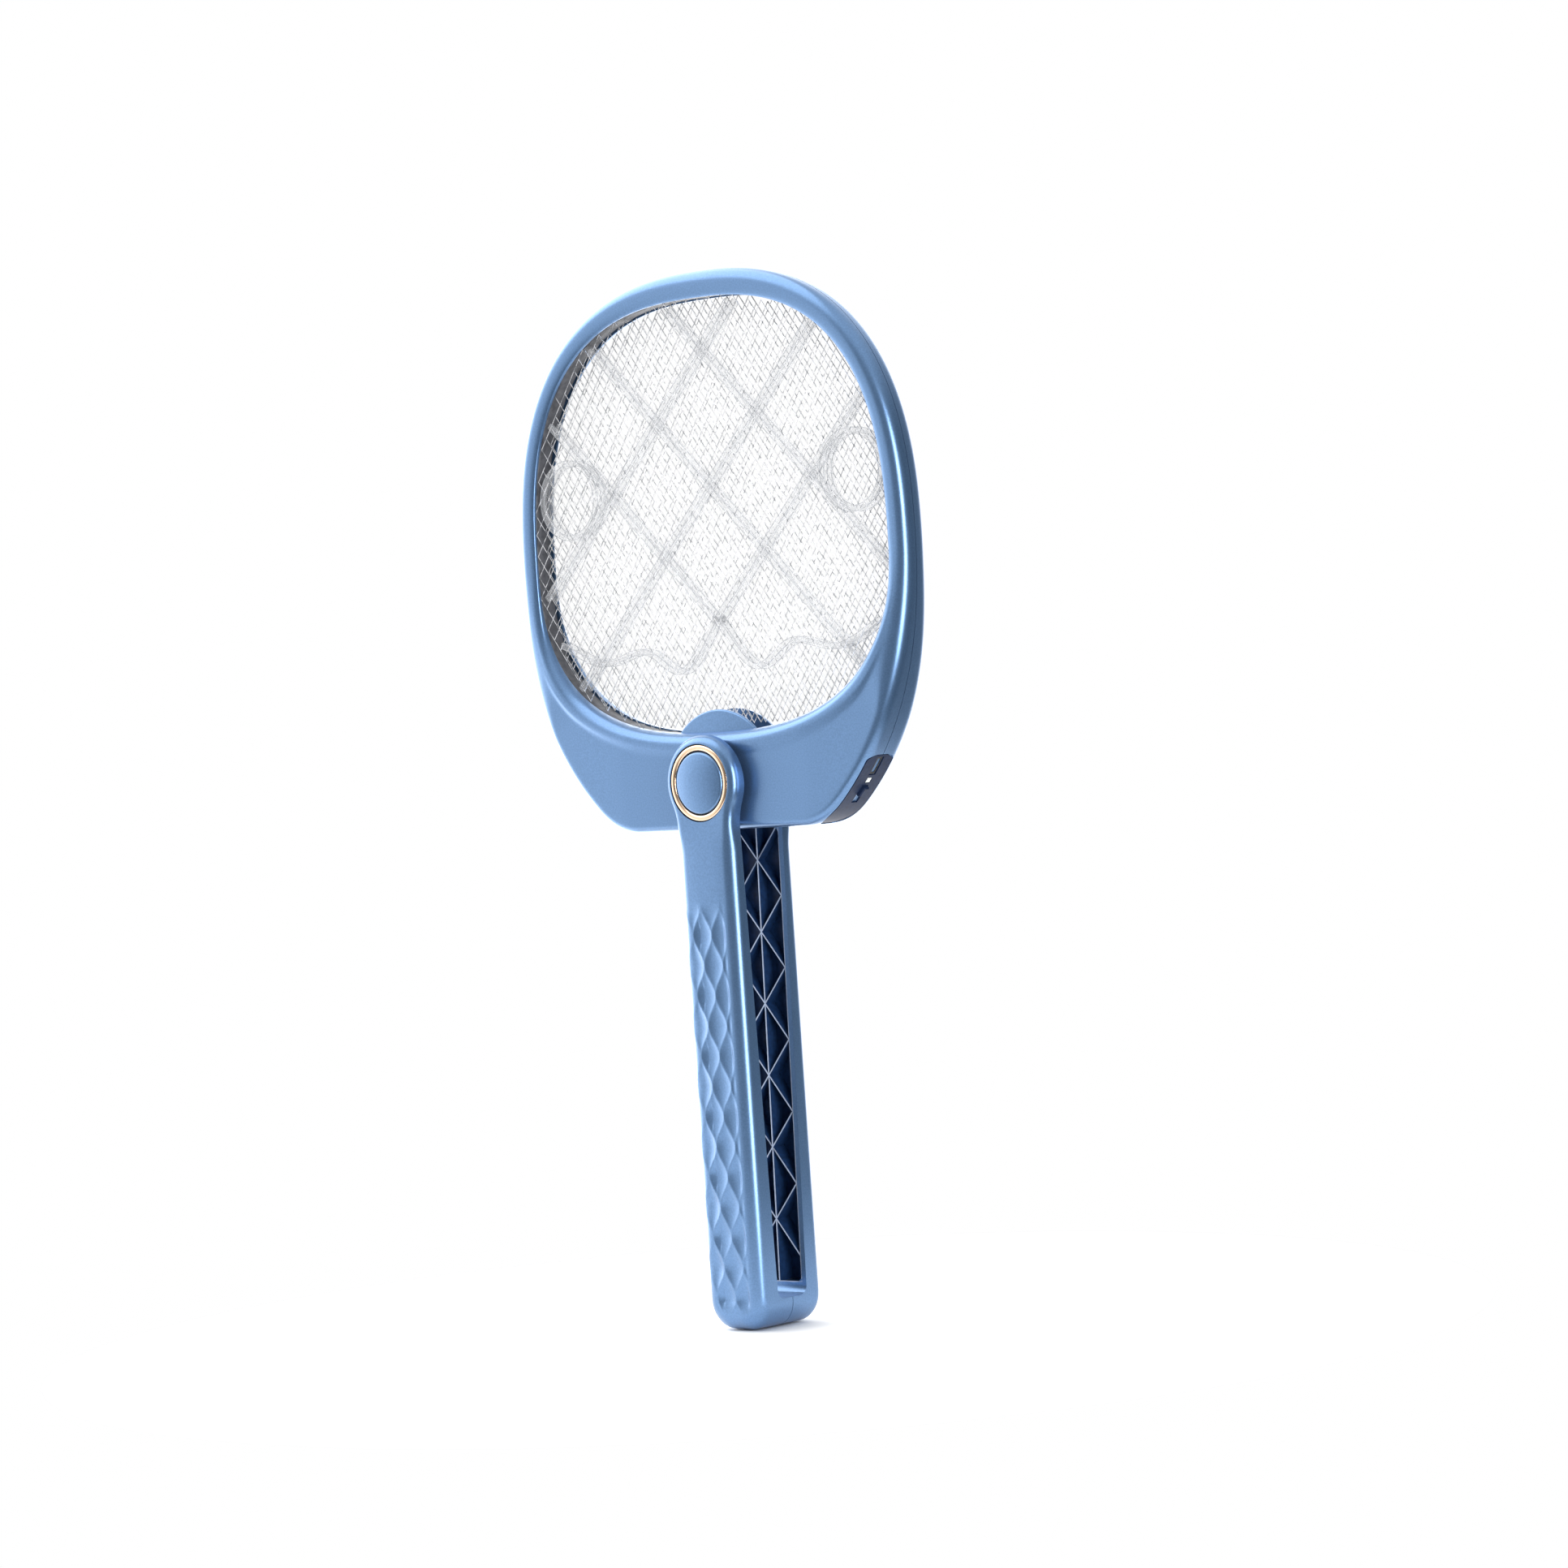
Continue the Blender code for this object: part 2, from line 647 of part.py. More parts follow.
def arm_side_outline():
    """Side view of the front arm, with its half of the foot."""
    corner = 7.0
    outer = -HANDLE_HALF_DEPTH - 1
    turn = [(-HANDLE_HALF_DEPTH + corner - corner * cos(a), corner - corner * sin(a))
            for a in (pi / 2 * k / 4 for k in range(1, 5))]
    top = PIVOT_HEIGHT + BOSS_RADIUS + 5
    return [(outer, top), (outer, corner)] + [(-HANDLE_HALF_DEPTH, corner)] + turn + [
        (-GAP / 2, 0.0), (-GAP / 2, SLOT_BOTTOM), (-slot_half(SLOT_BOTTOM), SLOT_BOTTOM), (-slot_half(top), top)]


def rib_pockets():
    """Triangular pockets between the crossed ribs, as one cutter."""
    half_width = ARM_HALF_WIDTH - ARM_WALL + RIB_THICKNESS / 2
    pockets = bmesh.new()
    bottom = SLOT_BOTTOM + ARM_WALL
    for node in range(RIB_NODES):
        z = RIB_TOP_NODE - node * RIB_PITCH
        half = RIB_PITCH / 2
        for side in (1, -1):
            wall = side * half_width
            triangles = (
                [(0, z), (wall, z + half), (wall, z - half)],
                [(0, z), (wall, z - half), (0, z - RIB_PITCH)],
            )
            for corners in triangles:
                corners = [Vector(c) for c in corners]
                corners = corners if side < 0 else corners[::-1]
                if area(corners) < 0:
                    corners.reverse()
                corners = inset(corners, RIB_THICKNESS / 2)
                if min(c.y for c in corners) < bottom:
                    continue
                piece = prism(corners, -HANDLE_HALF_DEPTH + ARM_WALL, 5.0)
                mesh = bpy.data.meshes.new("pocket")
                piece.to_mesh(mesh)
                piece.free()
                pockets.from_mesh(mesh)
                bpy.data.meshes.remove(mesh)
    return pockets


def arm_body():
    body = prism(arm_outline(), -HANDLE_HALF_DEPTH, 5.0, ARM_EDGE_ROUND, 3)
    body = combine(body, [side_prism(arm_side_outline(), -2 * ARM_HALF_WIDTH, 2 * ARM_HALF_WIDTH)], "INTERSECT")
    return cut(body, rib_pockets())


def front_arm(look, parent):
    bm = arm_body()
    bore, recess, far = SHAFT_RADIUS + GAP, BUTTON_RECESS_RADIUS, -HANDLE_HALF_DEPTH - 5
    pocket = turned([(0, far), (recess, far), (recess, -BUTTON_FLOOR), (bore, -BUTTON_FLOOR), (bore, 0), (0, 0)])
    screw_bores = [rod(SCREW_SHANK + 0.4, -15.0, 5.0, p, 10) for p in HANDLE_SCREWS]
    bm = cut(bm, *screw_bores, pocket)
    return finish(bm, "handle_front_arm", look, parent)


def rear_arm(look, parent):
    bm = mirrored(arm_body())
    bore, recess, floor = SHAFT_RADIUS + GAP, NUT_RECESS_RADIUS, BUTTON_FLOOR + 1.0
    far = HANDLE_HALF_DEPTH + 5
    pocket = turned([(0, 0), (bore, 0), (bore, floor), (recess, floor), (recess, far), (0, far)])
    seat = HANDLE_HALF_DEPTH - 4.0
    holes = [turned([(0, -5), (SCREW_SHANK + 0.7, -5), (SCREW_SHANK + 0.7, seat), (HANDLE_SCREW_HEAD + GAP, seat),
                     (HANDLE_SCREW_HEAD + GAP, seat + 10), (0, seat + 10)], p, 12) for p in HANDLE_SCREWS]
    bm = cut(bm, *holes, pocket)
    return finish(bm, "handle_rear_arm", look, parent)


def handle_screws(look, parent):
    seat = HANDLE_HALF_DEPTH - 4.0 + 0.02
    for number, p in enumerate(HANDLE_SCREWS, 1):
        profile = [(0, -12.0), (SCREW_SHANK + 0.25, -11.0), (SCREW_SHANK + 0.25, seat), (HANDLE_SCREW_HEAD, seat),
                   (HANDLE_SCREW_HEAD, seat + 1.2), (HANDLE_SCREW_HEAD * 0.6, seat + 2.0), (0, seat + 2.0)]
        finish(turned(profile, p, 16), f"handle_screw_{number}", look, parent)


# ---------------------------------------------------------------- pivot and button

def pivot_parts(looks, parent):
    flange_front = -BUTTON_FLOOR - FLANGE_THICKNESS
    nut_seat = BUTTON_FLOOR + 1.0
    nut_back = nut_seat + 0.02 + 2.4
    shaft = turned([
        (SHAFT_BORE, flange_front), (SHAFT_FLANGE, flange_front), (SHAFT_FLANGE, -BUTTON_FLOOR - 0.02),
        (SHAFT_RADIUS, -BUTTON_FLOOR - 0.02), (SHAFT_RADIUS, nut_back), (SHAFT_BORE, nut_back)])
    finish(shaft, "pivot_shaft", looks["steel"], parent)
    nut = rod(NUT_RADIUS, nut_seat + 0.02, nut_back, sides=6)
    nut = cut(nut, rod(SHAFT_RADIUS + GAP, nut_seat - 1, nut_back + 1))
    finish(nut, "pivot_nut", looks["steel"], parent)
    cap = turned([(0, nut_back + 0.2), (NUT_RECESS_RADIUS - GAP, nut_back + 0.2),
                  (NUT_RECESS_RADIUS - GAP, HANDLE_HALF_DEPTH - 0.4), (NUT_RECESS_RADIUS - 1.2, HANDLE_HALF_DEPTH + 0.3),
                  (0, HANDLE_HALF_DEPTH + 0.6)])
    finish(cap, "pivot_rear_cap", looks["blue"], parent)
    inner = CHIN_HALF_DEPTH + 0.15
    outer = SLOT_HALF_AT_PIVOT - SLOT_TAPER * WASHER_RADIUS - 0.15
    for name, sign in (("front", -1), ("rear", 1)):
        ring = turned([(SHAFT_RADIUS + GAP, sign * inner), (WASHER_RADIUS, sign * inner),
                       (WASHER_RADIUS, sign * outer), (SHAFT_RADIUS + GAP, sign * outer)])
        finish(ring, f"pivot_washer_{name}", looks["white"], parent)


def button_parts(looks, handle, button):
    board_back = -BUTTON_FLOOR - 0.1
    board_front = board_back - 0.8
    rim = BUTTON_RECESS_RADIUS - 3.9
    board = turned([(SHAFT_FLANGE + 0.4, board_front), (rim, board_front), (rim, board_back),
                    (SHAFT_FLANGE + 0.4, board_back)])
    finish(board, "button_circuit_board", looks["green"], handle)
    side = (SHAFT_FLANGE + BUTTON_RADIUS - BUTTON_WALL) / 2  # the push switch sits between the flange and the skirt
    half = 1.7
    low = (side - half, board_front - 1.0, PIVOT_HEIGHT - half)
    switch = box(low, (side + half, board_front - 0.02, PIVOT_HEIGHT + half))
    finish(switch, "push_switch", looks["black"], handle)
    face = -HANDLE_HALF_DEPTH
    ring = turned([(RING_INNER, face + 1.0), (RING_INNER + 0.7, face + 0.1), (RING_OUTER - 0.7, face - 0.1),
                   (RING_OUTER, face + 0.6), (RING_OUTER, face + 2.6), (RING_INNER, face + 2.6)], sides=36)
    finish(ring, "button_trim_ring", looks["gold"], handle)
    lift = BUTTON_CROWN - BUTTON_EDGE
    dome = [(BUTTON_RADIUS * sin(a), -BUTTON_EDGE - lift * cos(a)) for a in (pi / 2 * k / 4 for k in range(5))]
    inner = BUTTON_RADIUS - BUTTON_WALL
    inside = [(inner, -BUTTON_SKIRT_END), (inner, -BUTTON_EDGE),
              (BUTTON_RADIUS * 0.6, -BUTTON_EDGE - lift * 0.3), (0, -BUTTON_EDGE - lift * 0.3)]
    cap = turned(dome + [(BUTTON_RADIUS, -BUTTON_SKIRT_END)] + inside)
    nub_end = board_front - 1.0 - BUTTON_TRAVEL - 0.15
    nub = rod(1.2, -BUTTON_EDGE - 1.2, nub_end, (side, PIVOT_HEIGHT), 10)
    finish(union(cap, nub), "push_button", looks["blue"], button, origin=(0, -BUTTON_EDGE, PIVOT_HEIGHT))
    spring_parts(looks["steel"], handle)


def spring_parts(look, parent):
    """Return spring between the shaft's flange and the underside of the button."""
    back = -BUTTON_FLOOR - FLANGE_THICKNESS - SPRING_WIRE - 0.1
    front = -BUTTON_EDGE - 0.72 + SPRING_WIRE + 0.1
    per_turn, sides = 10, 5
    count = SPRING_TURNS * per_turn
    bm = bmesh.new()
    rings = []
    for k in range(count + 1):
        share = k / count
        turn = 2 * pi * k / per_turn
        out = Vector((cos(turn), 0, sin(turn)))
        middle = Vector((0, back + (front - back) * share, PIVOT_HEIGHT)) + out * SPRING_RADIUS
        rings.append([bm.verts.new(middle + SPRING_WIRE * (out * cos(a) + Vector((0, 1, 0)) * sin(a)))
                      for a in (2 * pi * s / sides for s in range(sides))])
    for a, b in zip(rings, rings[1:]):
        for s in range(sides):
            n = (s + 1) % sides
            bm.faces.new([a[s], a[n], b[n], b[s]])
    bm.faces.new(rings[0])
    bm.faces.new(list(reversed(rings[-1])))
    finish(bm, "button_spring", look, parent)


# ---------------------------------------------------------------- electrics

def chin_electrics(looks, parent):
    left, right, bottom, top = BOARD
    back = BOARD_FRONT + BOARD_THICKNESS
    finish(box((left, BOARD_FRONT, bottom), (right, back, top)), "circuit_board", looks["green"], parent)
    face = BOARD_FRONT - 0.1
    transformer = box((left + 6, face - 9.5, top - 13), (left + 20, face, top - 2))
    finish(transformer, "step_up_transformer", looks["yellow"], parent)
    capacitor = box((left + 25, face - 7, top - 11), (left + 40, face, top - 4))
    finish(capacitor, "high_voltage_capacitor", looks["red"], parent)
    small = box((left + 26, face - 5, bottom + 2), (left + 38, face, bottom + 7))
    finish(small, "storage_capacitor", looks["red"], parent)
    cell = bmesh.new()
    rings = ((CELL_START, CELL_RADIUS - 1), (CELL_START + 1, CELL_RADIUS), (CELL_START + CELL_LENGTH - 1, CELL_RADIUS),
             (CELL_START + CELL_LENGTH, CELL_RADIUS - 1))
    made = []
    for x, radius in rings:
        made.append([cell.verts.new((-x, radius * cos(a), PIVOT_HEIGHT + radius * sin(a)))
                     for a in (2 * pi * k / 24 for k in range(24))])
    for a, b in zip(made, made[1:]):
        for k in range(24):
            n = (k + 1) % 24
            cell.faces.new([a[k], a[n], b[n], b[k]])
    cell.faces.new(made[0])
    cell.faces.new(list(reversed(made[-1])))
    finish(cell, "battery_cell", looks["battery"], parent)
    for name, x in (("inner", CELL_START - 1.4), ("outer", CELL_START + CELL_LENGTH + 0.4)):
        plate = box((-x - 0.8, -4, PIVOT_HEIGHT - 4), (-x, 4, PIVOT_HEIGHT + 4))
        finish(plate, f"battery_contact_{name}", looks["steel"], parent)


def side_electrics(looks, parent, knob_parent):
    body = on_side(box((-5.6, -2.9, -WALL - 6.0), (5.6, 2.9, -WALL - 1.3)), SWITCH_PLACE)
    finish(body, "mode_switch_body", looks["black"], parent)
    knob = box((-4.8, -1.5, -WALL - 1.0), (-4.8 + 5.4, 1.5, 1.3))
    rim = [e for e in knob.edges if all(v.co.z > 1.0 for v in e.verts)]
    bmesh.ops.bevel(knob, geom=rim, offset=0.4, segments=1, affect="EDGES")
    finish(on_side(knob, SWITCH_PLACE), "mode_switch_knob", looks["navy"], knob_parent)
    led = box((-1.2, -1.2, -WALL - 3.0), (1.2, 1.2, -0.4))
    finish(on_side(led, LED_PLACE), "indicator_light", looks["lens"], parent)
    socket = box((-4.5, -1.7, -WALL - 5.5), (4.5, 1.7, -0.8))
    opening = box((-3.7, -0.9, -WALL - 4.0), (3.7, 0.9, 3.0))
    finish(on_side(cut(socket, opening), SOCKET_PLACE), "charging_socket", looks["steel"], parent)


# ---------------------------------------------------------------- assembly

def main():
    clear_scene()
    blue = (0.085, 0.17, 0.37)
    looks = {
        "blue": material("satin_blue_plastic", blue, 0.38),
        "navy": material("dark_blue_plastic", (0.02, 0.045, 0.12), 0.45),
        "gold": material("rose_gold_trim", (0.83, 0.52, 0.36), 0.22, 1.0),
        "steel": material("steel", (0.6, 0.6, 0.62), 0.3, 1.0),
        "mesh": material("bright_mesh", (0.78, 0.79, 0.8), 0.35, 0.9),
        "grey": material("dark_grey_plastic", (0.09, 0.09, 0.1), 0.55),
        "clear": material("milky_plastic", (0.8, 0.82, 0.84), 0.3),
        "white": material("white_nylon", (0.85, 0.85, 0.83), 0.5),
        "black": material("black_plastic", (0.02, 0.02, 0.02), 0.5),
        "green": material("board_green", (0.03, 0.2, 0.08), 0.5),
        "yellow": material("winding_tape", (0.8, 0.6, 0.1), 0.6),
        "red": material("capacitor_red", (0.55, 0.05, 0.04), 0.4),
        "battery": material("battery_sleeve", (0.1, 0.35, 0.25), 0.4),
        "lens": material("indicator_lens", (0.9, 0.95, 0.9), 0.2),
        "brass": material("brass", (0.8, 0.6, 0.25), 0.3, 1.0),
    }
    handle = empty("handle", (0, 0, 0))
    head = empty("head", (0, 0, PIVOT_HEIGHT))
    button = empty("button", (0, -BUTTON_EDGE, PIVOT_HEIGHT))
    switch_point = chin_side(SWITCH_PLACE)
    knob = empty("knob", (switch_point.x, 0, switch_point.y))

    front_arm(looks["blue"], handle)
    rear_arm(looks["blue"], handle)
    handle_screws(looks["steel"], handle)
    pivot_parts(looks, handle)
    button_parts(looks, handle, button)

    head_front_frame(looks["blue"], head)
    head_rear_frame(looks["blue"], head)
    head_screws(looks["steel"], head)
    carrier_ring(looks["grey"], head)
    guard("front_guard_mesh", -CARRIER_HALF_DEPTH - 0.1 - GUARD_THICKNESS, looks["mesh"], head)
    guard("rear_guard_mesh", CARRIER_HALF_DEPTH + 0.1, looks["mesh"], head)
    charged_grid(looks["mesh"], head)
    support_lattice("front_support_lattice", -0.6 - LATTICE_THICKNESS, looks["clear"], head)
    support_lattice("rear_support_lattice", 0.6, looks["clear"], head)
    terminals(looks["brass"], head)
    chin_electrics(looks, head)
    side_electrics(looks, head, knob)


main()
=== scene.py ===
"""The looks of the folding fly swatter: fine shells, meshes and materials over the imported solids.

Lengths are written in millimetres; MM turns them into metres where a mesh is stored.
"""
import json
from math import asin, atan2, cos, hypot, pi, radians, sin, sqrt

import bmesh
import bpy
from mathutils import Matrix, Vector


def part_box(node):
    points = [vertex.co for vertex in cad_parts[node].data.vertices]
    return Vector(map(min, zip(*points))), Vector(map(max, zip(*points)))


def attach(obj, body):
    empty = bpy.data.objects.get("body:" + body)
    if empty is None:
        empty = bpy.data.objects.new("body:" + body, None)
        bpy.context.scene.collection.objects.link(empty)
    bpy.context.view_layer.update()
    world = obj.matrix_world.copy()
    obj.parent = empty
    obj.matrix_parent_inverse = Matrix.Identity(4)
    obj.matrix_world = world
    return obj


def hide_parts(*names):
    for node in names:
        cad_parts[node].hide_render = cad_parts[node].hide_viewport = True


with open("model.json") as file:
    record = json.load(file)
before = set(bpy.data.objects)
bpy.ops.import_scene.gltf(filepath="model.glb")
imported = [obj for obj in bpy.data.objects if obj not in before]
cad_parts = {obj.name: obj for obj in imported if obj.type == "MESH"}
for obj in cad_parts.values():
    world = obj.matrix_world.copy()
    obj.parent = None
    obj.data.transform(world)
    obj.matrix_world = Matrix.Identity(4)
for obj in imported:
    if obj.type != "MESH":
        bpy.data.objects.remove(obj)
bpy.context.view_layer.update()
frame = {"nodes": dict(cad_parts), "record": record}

MM = 0.001


def corners(node):
    """Lowest and highest corner of a solid's box, in millimetres."""
    low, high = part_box(node)
    return Vector(low) / MM, Vector(high) / MM


# ---------------------------------------------------------------- sizes taken from the frame

FOLD = next(joint for joint in frame["record"]["behaviour"]["joints"] if joint["name"] == "head_fold")
PIVOT = FOLD["pos_m"][2] / MM
HEAD_LOW, HEAD_HIGH = corners("head_front_frame")
ARM_LOW, ARM_HIGH = corners("handle_front_arm")
RING_LOW, RING_HIGH = corners("button_trim_ring")
BUTTON_LOW, BUTTON_HIGH = corners("push_button")
GUARD_LOW, GUARD_HIGH = corners("front_guard_mesh")
CARRIER_DEPTH = corners("grid_carrier_ring")[1].y

TOTAL_HEIGHT = HEAD_HIGH.z
HALF_WIDTH = HEAD_HIGH.x
CHIN_BOTTOM = HEAD_LOW.z
HANDLE_DEPTH = -ARM_LOW.y
BOSS_RADIUS = ARM_HIGH.z - PIVOT

# ---------------------------------------------------------------- sizes repeated from the design

HALF_GAP = 0.15  # from the middle plane to the edge of each shell or arm

# Head
MID_HEIGHT = 345.0  # where the head is widest, and the centre of its angles
RIM_TOP = 12.5
RIM_SIDE = 10.4
OPENING_DROP = 80.0
HOOP_DEPTH = 7.25
CHIN_DEPTH = 12.6
CHIN_REACH = (104.0, 150.0)  # distance from the pivot over which the chin thins out to the hoop
FOLD_CLEARANCE = 0.4
OUTER_POWER = 2.45
OPENING_POWER = 2.6
LIP_UNDERSIDE = 5.1
LIP_FACE = 6.0
CARRIER_WIDTH = 2.9
FRONT_SQUARENESS = 2.4  # power of the rounded outer edge
REAR_SQUARENESS = 3.2
TAB_RADIUS = 32.0
TAB_FOOT = 258.5
TAB_FACE = 6.9

# Places along the chin's side, as shares of its curve
SWITCH_PLACE = 0.97
LIGHT_PLACE = 0.91
SOCKET_PLACE = 0.85
PANEL_START = 0.80
PANEL_HALF_WIDTH = 8.3
PANEL_CLEARANCE = 0.3

# Handle
ARM_HALF_WIDTH = 16.4
SLOT_HALF = 14.2  # at the pivot's height
SLOT_TAPER = 0.021
SLOT_BOTTOM = 13.0
POCKET_FLOOR = 18.7
POCKET_HALF_WIDTH = 13.6
POCKET_RISE = 5.0  # above the slot's bottom
POCKET_TOP = 221.0
SHAFT_HOLE = 5.3
RING_SEAT = 17.2
RING_RECESS = (17.3, 15.7)  # radius and level of its floor
NUT_RECESS = (10.0, 16.7)

# Grip: dishes in staggered columns
DISH_PERIOD = 26.8
DISH_PHASE = 1.4
DISH_COLUMN = 5.6
DISH_START = 12.3  # left of the centreline

# Meshes and straps
STRAP_FRONT, STRAP_BACK = 1.4, 3.6  # levels of a lattice from the middle plane
STRAP_WIDTH = 2.6
STRAP_STEP = 30.2
LOOP_RADIUS = 17.0
LOOP_REACH = 86.0
LATTICE_CENTRE = 374.5
MESH_CENTRE = 365.0

# Camera
CAMERA_PLACE = (1423.19, -1528.95, 271.66)
CAMERA_TURN = (89.1257, 3.8376, 42.2466)  # degrees about X, Y and Z
CAMERA_LENS = 107.79


# ---------------------------------------------------------------- camera, lights and floor

def camera():
    """Camera from the front right, level with the pivot, rolled a little."""
    data = bpy.data.cameras.new("camera")
    data.sensor_width = 36.0
    data.lens = CAMERA_LENS
    obj = bpy.data.objects.new("camera", data)
    bpy.context.scene.collection.objects.link(obj)
    obj.location = Vector(CAMERA_PLACE) * MM
    obj.rotation_euler = [radians(angle) for angle in CAMERA_TURN]
    data.clip_start = 0.05
    data.clip_end = 50.0
    bpy.context.scene.camera = obj


def lamp(name, place, target, size, power):
    """Rectangular lamp that faces a target; lengths are in metres."""
    data = bpy.data.lights.new(name, "AREA")
    data.shape = "RECTANGLE"
    data.size, data.size_y = size
    data.energy = power
    obj = bpy.data.objects.new(name, data)
    bpy.context.scene.collection.objects.link(obj)
    obj.location = place
    obj.rotation_mode = "QUATERNION"
    obj.rotation_quaternion = (Vector(place) - Vector(target)).to_track_quat("Z", "Y")


def studio_world():
    """White backdrop for the camera; the light comes mostly from the left and above."""
    world = bpy.data.worlds.new("studio")
    bpy.context.scene.world = world
    world.use_nodes = True
    nodes, links = world.node_tree.nodes, world.node_tree.links
    sky, output = nodes["Background"], nodes["World Output"]
    place = nodes.new("ShaderNodeTexCoord")
    split = nodes.new("ShaderNodeSeparateXYZ")
    links.new(place.outputs["Generated"], split.inputs["Vector"])
    back = nodes.new("ShaderNodeMath")
    back.operation = "MULTIPLY"
    back.inputs[1].default_value = -1.0
    links.new(split.outputs["Y"], back.inputs[0])
    round_about = nodes.new("ShaderNodeMath")
    round_about.operation = "ARCTAN2"
    links.new(split.outputs["X"], round_about.inputs[0])
    links.new(back.outputs["Value"], round_about.inputs[1])
    share = nodes.new("ShaderNodeMapRange")
    share.inputs["From Min"].default_value = -pi
    share.inputs["From Max"].default_value = pi
    links.new(round_about.outputs["Value"], share.inputs["Value"])
    ramp = nodes.new("ShaderNodeValToRGB")
    ramp.color_ramp.interpolation = "EASE"
    stops = [  # (degrees round the object, light level)
        (-180, 1.6), (-150, 2.6), (-115, 4.0), (-80, 2.8), (-45, 1.25), (-12, 0.28), (45, 0.10), (125, 0.03),
        (165, 0.3), (180, 1.3),
    ]
    brightest = 4.0
    elements = ramp.color_ramp.elements
    while len(elements) < len(stops):
        elements.new(0.5)
    for element, (degrees, level) in zip(elements, stops):
        element.position = (degrees + 180) / 360
        element.color = (level / brightest, level / brightest, level / brightest, 1.0)
    links.new(share.outputs["Result"], ramp.inputs["Fac"])
    links.new(ramp.outputs["Color"], sky.inputs["Color"])
    sky.inputs["Strength"].default_value = brightest
    top = nodes.new("ShaderNodeBackground")
    top.inputs["Color"].default_value = (1.0, 1.0, 1.0, 1.0)
    top.inputs["Strength"].default_value = 1.0
    rise = nodes.new("ShaderNodeMapRange")
    rise.interpolation_type = "SMOOTHSTEP"
    rise.inputs["From Min"].default_value = 0.35
    rise.inputs["From Max"].default_value = 0.9
    links.new(split.outputs["Z"], rise.inputs["Value"])
    light = nodes.new("ShaderNodeMixShader")
    links.new(rise.outputs["Result"], light.inputs["Fac"])
    links.new(sky.outputs["Background"], light.inputs[1])
    links.new(top.outputs["Background"], light.inputs[2])
    backdrop = nodes.new("ShaderNodeBackground")
    backdrop.inputs["Color"].default_value = (1.0, 1.0, 1.0, 1.0)
    ray = nodes.new("ShaderNodeLightPath")
    mix = nodes.new("ShaderNodeMixShader")
    links.new(ray.outputs["Is Camera Ray"], mix.inputs["Fac"])
    links.new(light.outputs["Shader"], mix.inputs[1])
    links.new(backdrop.outputs["Background"], mix.inputs[2])
    links.new(mix.outputs["Shader"], output.inputs["Surface"])


def studio():
    """Lights, the world and a small white floor disc that catches the foot's shadow."""
    scene = bpy.context.scene
    scene.view_settings.view_transform = "Standard"
    studio_world()
    middle = (0.0, 0.0, 0.27)
    lamp("right_strip", (1.62, -0.74, 0.40), middle, (0.62, 1.5), 30.0)
    sun = bpy.data.lights.new("overhead", "SUN")
    sun.energy = 1.75
    sun.angle = radians(70)
    obj = bpy.data.objects.new("overhead", sun)
    scene.collection.objects.link(obj)
    obj.rotation_mode = "QUATERNION"
    obj.rotation_quaternion = Vector((-0.55, -0.25, 0.80)).to_track_quat("Z", "Y")
    floor_look = bpy.data.materials.new("floor_white")
    floor_look.use_nodes = True
    shader = floor_look.node_tree.nodes["Principled BSDF"]
    shader.inputs["Base Color"].default_value = (0.95, 0.95, 0.95, 1.0)
    shader.inputs["Roughness"].default_value = 0.9
    bm = bmesh.new()
    bmesh.ops.create_circle(bm, cap_ends=True, segments=96, radius=0.32)
    mesh = bpy.data.meshes.new("floor")
    bm.to_mesh(mesh)
    bm.free()
    floor = bpy.data.objects.new("floor", mesh)
    floor.location = (0, 0, -0.0005)
    scene.collection.objects.link(floor)
    floor.data.materials.append(floor_look)


# ---------------------------------------------------------------- materials

